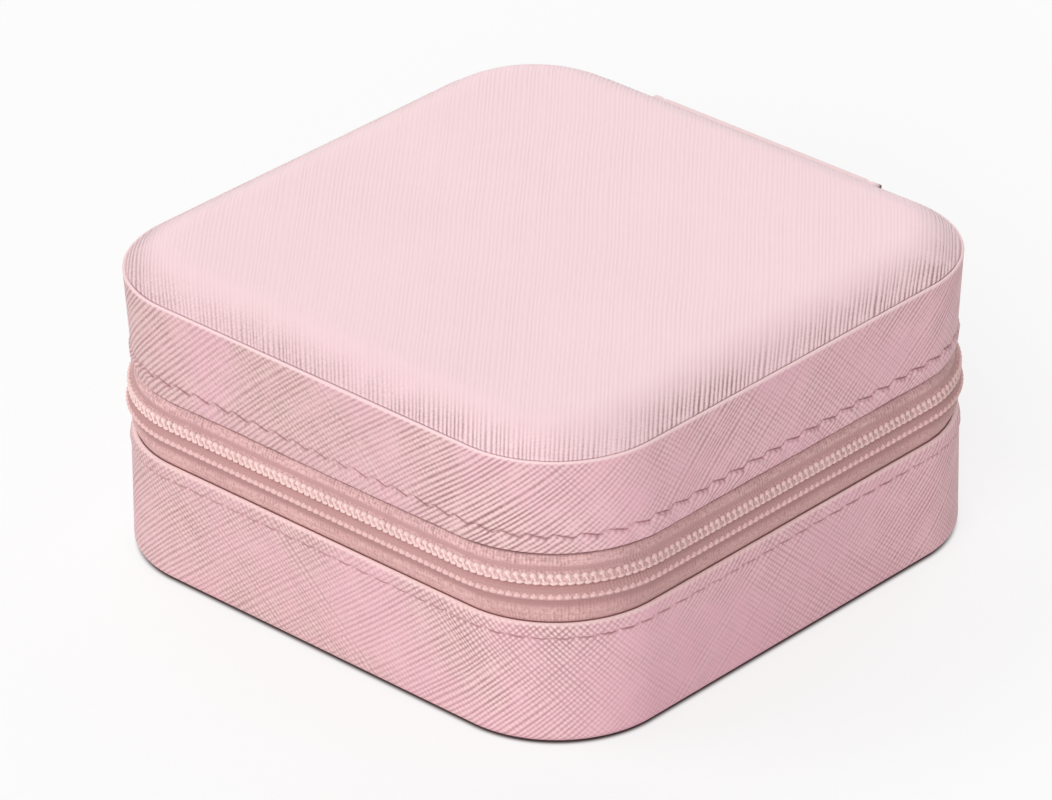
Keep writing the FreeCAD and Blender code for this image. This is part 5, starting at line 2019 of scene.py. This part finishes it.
@dataclass
class LidInside:
    """The velvet inside of the lid, the mirror and its padded frame.

    Attributes:
        rim: height of the lining's rolled rim.
        frame_foot: height of the inner frame's foot, which the lining is rolled over.
        ceiling: height of the lined ceiling.
        head: height of the wall lining's top.
        outer: plan of the frame's outside.
        window: plan of the frame's window.
    """

    rim: float = 26.7
    frame_foot: float = 27.35
    ceiling: float = 42.7
    head: float = 43.3
    outer: Outline = Outline(41.0, 11.0)
    window: Outline = Outline(34.0, 4.0)

    def build(self) -> None:
        """Builds the linings and the frame, and finishes the mirror."""
        profile = section(
            [
                Corner(LINING_FACE, self.rim, 0.55, 0.4),
                Corner(LINING_RIM, self.rim, 0.3, 0.3),
                Corner(LINING_RIM, self.frame_foot, 0.2, 0.4),
                Corner(LINING_BACK, self.frame_foot, 0.1, 4.0),
                Corner(LINING_BACK, self.head, 0.0, 0.5),
                Corner(LINING_FACE, self.head, 0.0, 2.5),
            ]
        )
        wall_lining("lid_wall_lining", profile, Body.LID)
        lining_panel("lid_ceiling_lining", self.ceiling, self.ceiling + 0.65, False, Body.LID)
        share = np.array([0.0, 0.0, 0.03, 0.12, 0.3, 0.5, 0.7, 0.88, 0.97, 1.0, 1.0])
        drop = np.array([0.0, 0.9, 1.4, 1.75, 1.95, 2.0, 1.95, 1.75, 1.45, 1.2, 1.02])
        rim = np.concatenate([share, [0.88, 0.82, 0.6, 0.3]])
        low = self.ceiling - np.concatenate([drop, [1.01, 0.0, 0.0, 0.0]])
        a = self.outer.walk(self.outer.matched(16, 8))[0]
        b = self.window.walk(self.window.matched(16, 8))[0]
        plan = a[None] * (1.0 - rim)[:, None, None] + b[None] * rim[:, None, None]
        heights = np.broadcast_to(low[:, None, None], plan.shape[:2] + (1,))
        points = np.concatenate([plan, heights], -1)[::-1]
        wrapped = np.concatenate([points, points[:, :1]], 1)
        wrapped = np.concatenate([wrapped, wrapped[:1]])
        skin = Skin()
        skin.grid(points, wrapped[..., :2], around=True, along=True)
        dress(skin.make("padded_mirror_frame"), FRAME_LEATHER, Body.LID, "mirror_frame")
        paint_solids(GLASS, "mirror_glass")


def finish_boards() -> None:
    """Papers the boards and frames, whose edges show inside the open zip."""
    paint_solids(PAPER, "base_floor_board", "base_wall_board", "base_inner_frame")
    paint_solids(PAPER, "lid_top_board", "lid_wall_board", "lid_inner_frame")


def stand(axes: Sequence[Array], place: Sequence[float]) -> Matrix:
    """Makes the matrix of a thing from the directions of its three axes and its place."""
    return Matrix([[*row, shift] for row, shift in zip(np.stack(axes, 1), place)] + [[0, 0, 0, 1]])


@dataclass(frozen=True)
class Lamp:
    """A soft, distant lamp.

    Attributes:
        name: its name.
        toward: direction from the case to the lamp.
        strength: its strength.
        angle: how wide it is seen from the case, in degrees.
    """

    name: str
    toward: tuple[float, float, float]
    strength: float
    angle: float

    def hang(self) -> None:
        """Adds the lamp to the scene."""
        light = bpy.data.lights.new(self.name, "SUN")
        light.energy = self.strength
        light.angle = math.radians(self.angle)
        lamp = bpy.data.objects.new(self.name, light)
        direction = np.array(self.toward) / np.linalg.norm(self.toward)
        side = np.cross([0.0, 1.0, 0.0], direction)
        side /= np.linalg.norm(side)
        lamp.matrix_world = stand([side, np.cross(direction, side), direction], (0.0, 0.0, 0.0))
        bpy.context.scene.collection.objects.link(lamp)


@dataclass
class Studio:
    """Camera, lamps, pale floor and background.

    Attributes:
        azimuth: camera's angle round the case, from the front, in degrees.
        elevation: camera's angle above the table, in degrees.
        roll: camera's tilt, in degrees.
        distance: from the point that it looks at.
        target: height of that point.
        focal: focal length in pixels of the photograph.
        centre: pixel of the lens axis.
        ambient: strength of the light from all round.
        lamps: a key at the upper left, a fill in front, and one behind whose sheen the top reflects.
        floor_half: half the floor's width.
        floor_tone: colour of the floor.
        floor_glow: share of the floor's own light, which keeps it as pale as the background.
        painted_shadow_reach: where the painted contact shadow at the foot starts to fade and ends, as
            distances out from the leather.
        painted_shadow_tone: colour of that painted shadow.
    """

    azimuth: float = 43.078
    elevation: float = 29.125
    roll: float = -0.634
    distance: float = 1017.56
    target: float = 24.11
    focal: float = 6728.1
    centre: tuple[float, float] = (545.17, 388.64)
    ambient: float = 0.42
    lamps: tuple[Lamp, ...] = (
        Lamp("key", (-0.55, -0.45, 0.7), 0.5, 30.0),
        Lamp("fill", (0.39, -0.86, 0.45), 1.66, 50.0),
        Lamp("sheen", (-0.55, 0.62, 0.6), 0.86, 70.0),
    )
    floor_half: float = 3000.0
    floor_tone: Colour = (0.99, 0.99, 0.99, 1.0)
    floor_glow: float = 0.72
    painted_shadow_reach: tuple[float, float] = (-1.0, 0.3)
    painted_shadow_tone: Colour = (0.16, 0.12, 0.12, 1.0)

    def camera(self) -> None:
        """Places the camera as the photograph was taken."""
        a, e, r = (math.radians(x) for x in (self.azimuth, self.elevation, self.roll))
        back = np.array([math.sin(a) * math.cos(e), -math.cos(a) * math.cos(e), math.sin(e)])
        right = np.array([math.cos(a), math.sin(a), 0.0])
        up = np.cross(back, right)
        right, up = right * math.cos(r) + up * math.sin(r), up * math.cos(r) - right * math.sin(r)
        spot = (np.array([0.0, 0.0, self.target]) + back * self.distance) * MM
        lens = bpy.data.cameras.new("camera")
        lens.sensor_width = 36.0
        lens.lens = self.focal * lens.sensor_width / PHOTO_WIDTH
        lens.shift_x = (0.5 * PHOTO_WIDTH - self.centre[0]) / PHOTO_WIDTH
        lens.shift_y = (self.centre[1] - 0.5 * PHOTO_HEIGHT) / PHOTO_WIDTH
        lens.clip_start, lens.clip_end = 0.05, 50.0
        camera = bpy.data.objects.new("camera", lens)
        camera.matrix_world = stand([right, up, back], spot)
        bpy.context.scene.collection.objects.link(camera)
        bpy.context.scene.camera = camera

    def seen_directly(self, w: Wiring) -> bpy.types.NodeSocket:
        """Tells camera, mirror and glass rays from the rest.

        Args:
            w: the wiring of the floor or the background.

        Returns:
            A mask, 1 for those rays.
        """
        path = w.node("ShaderNodeLightPath")
        either = w.math("MAXIMUM", path.outputs["Is Camera Ray"], path.outputs["Is Glossy Ray"])
        return w.math("MAXIMUM", either, path.outputs["Is Transmission Ray"])

    def background(self) -> None:
        """Lights the case from all round, with white behind it."""
        world = bpy.data.worlds.new("studio")
        world.use_nodes = True
        w = Wiring(world.node_tree)
        shade = world.node_tree.nodes["Background"]
        strength = w.math("MULTIPLY_ADD", self.seen_directly(w), 1.0 - self.ambient, self.ambient)
        shade.inputs["Color"].default_value = (1.0, 1.0, 1.0, 1.0)
        w.feed(shade.inputs["Strength"], strength)
        bpy.context.scene.world = world

    def clear_of_painted_shadow(self, w: Wiring) -> bpy.types.NodeSocket:
        """Tells the floor from the narrow painted contact shadow where the case stands on it.

        Args:
            w: the floor's wiring.

        Returns:
            A mask, 0 in the painted shadow at the case's foot and 1 clear of it.
        """
        radius = CASE.radius - CASE.tight[0][1]
        beyond = [
            w.math("MAXIMUM", w.math("SUBTRACT", w.math("ABSOLUTE", part), CASE.half - radius), 0.0)
            for part in w.split(w.solid_place())[:2]
        ]
        distance = w.math("SQRT", w.math("ADD", *(w.math("MULTIPLY", b, b) for b in beyond)))
        return w.remap(distance, radius + self.painted_shadow_reach[0], radius + self.painted_shadow_reach[1], 0.0, 1.0)

    def floor(self) -> None:
        """Lays a pale floor that keeps the case's shadow, with a painted contact shadow round the case's
        foot.
        """
        mesh = bpy.data.meshes.new("floor")
        half = self.floor_half * MM
        corners = [(-half, -half, 0.0), (half, -half, 0.0), (half, half, 0.0), (-half, half, 0.0)]
        mesh.from_pydata(corners, [], [(0, 1, 2, 3)])
        floor = bpy.data.objects.new("floor", mesh)
        made = bpy.data.materials.new("pale_floor")
        made.use_nodes = True
        w = Wiring(made.node_tree)
        made.node_tree.nodes.remove(made.node_tree.nodes["Principled BSDF"])
        # Painted contact shadow: round the case's foot the floor's colour turns dark and its glow fades out.
        clear = self.clear_of_painted_shadow(w)
        cloth = w.node("ShaderNodeBsdfDiffuse")
        w.feed(cloth.inputs["Color"], w.mix(clear, self.painted_shadow_tone, self.floor_tone))
        glow = w.node("ShaderNodeEmission")
        mixed = w.node("ShaderNodeMixShader")
        lit = w.math("MULTIPLY", clear, self.floor_glow)
        w.feed(mixed.inputs[0], w.math("MULTIPLY", self.seen_directly(w), lit))
        w.feed(mixed.inputs[1], cloth.outputs[0])
        w.feed(mixed.inputs[2], glow.outputs[0])
        w.feed(made.node_tree.nodes["Material Output"].inputs["Surface"], mixed.outputs[0])
        mesh.materials.append(made)
        bpy.context.scene.collection.objects.link(floor)

    def build(self) -> None:
        """Sets up the whole studio."""
        self.camera()
        self.background()
        self.floor()
        for lamp in self.lamps:
            lamp.hang()
        bpy.context.scene.view_settings.view_transform = "Standard"


def write_sizes() -> None:
    """Updates the view layer."""
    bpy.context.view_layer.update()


def main() -> None:
    """Builds the case and the studio round it."""
    logging.basicConfig(level=logging.INFO, format="%(message)s")
    Studio().build()
    LeatherBands().build()
    PaddedTop().build()
    ZipChain().build()
    BackHinge().build()
    VelvetTray().build()
    LidInside().build()
    finish_boards()
    write_sizes()


if __name__ == "__main__":
    main()
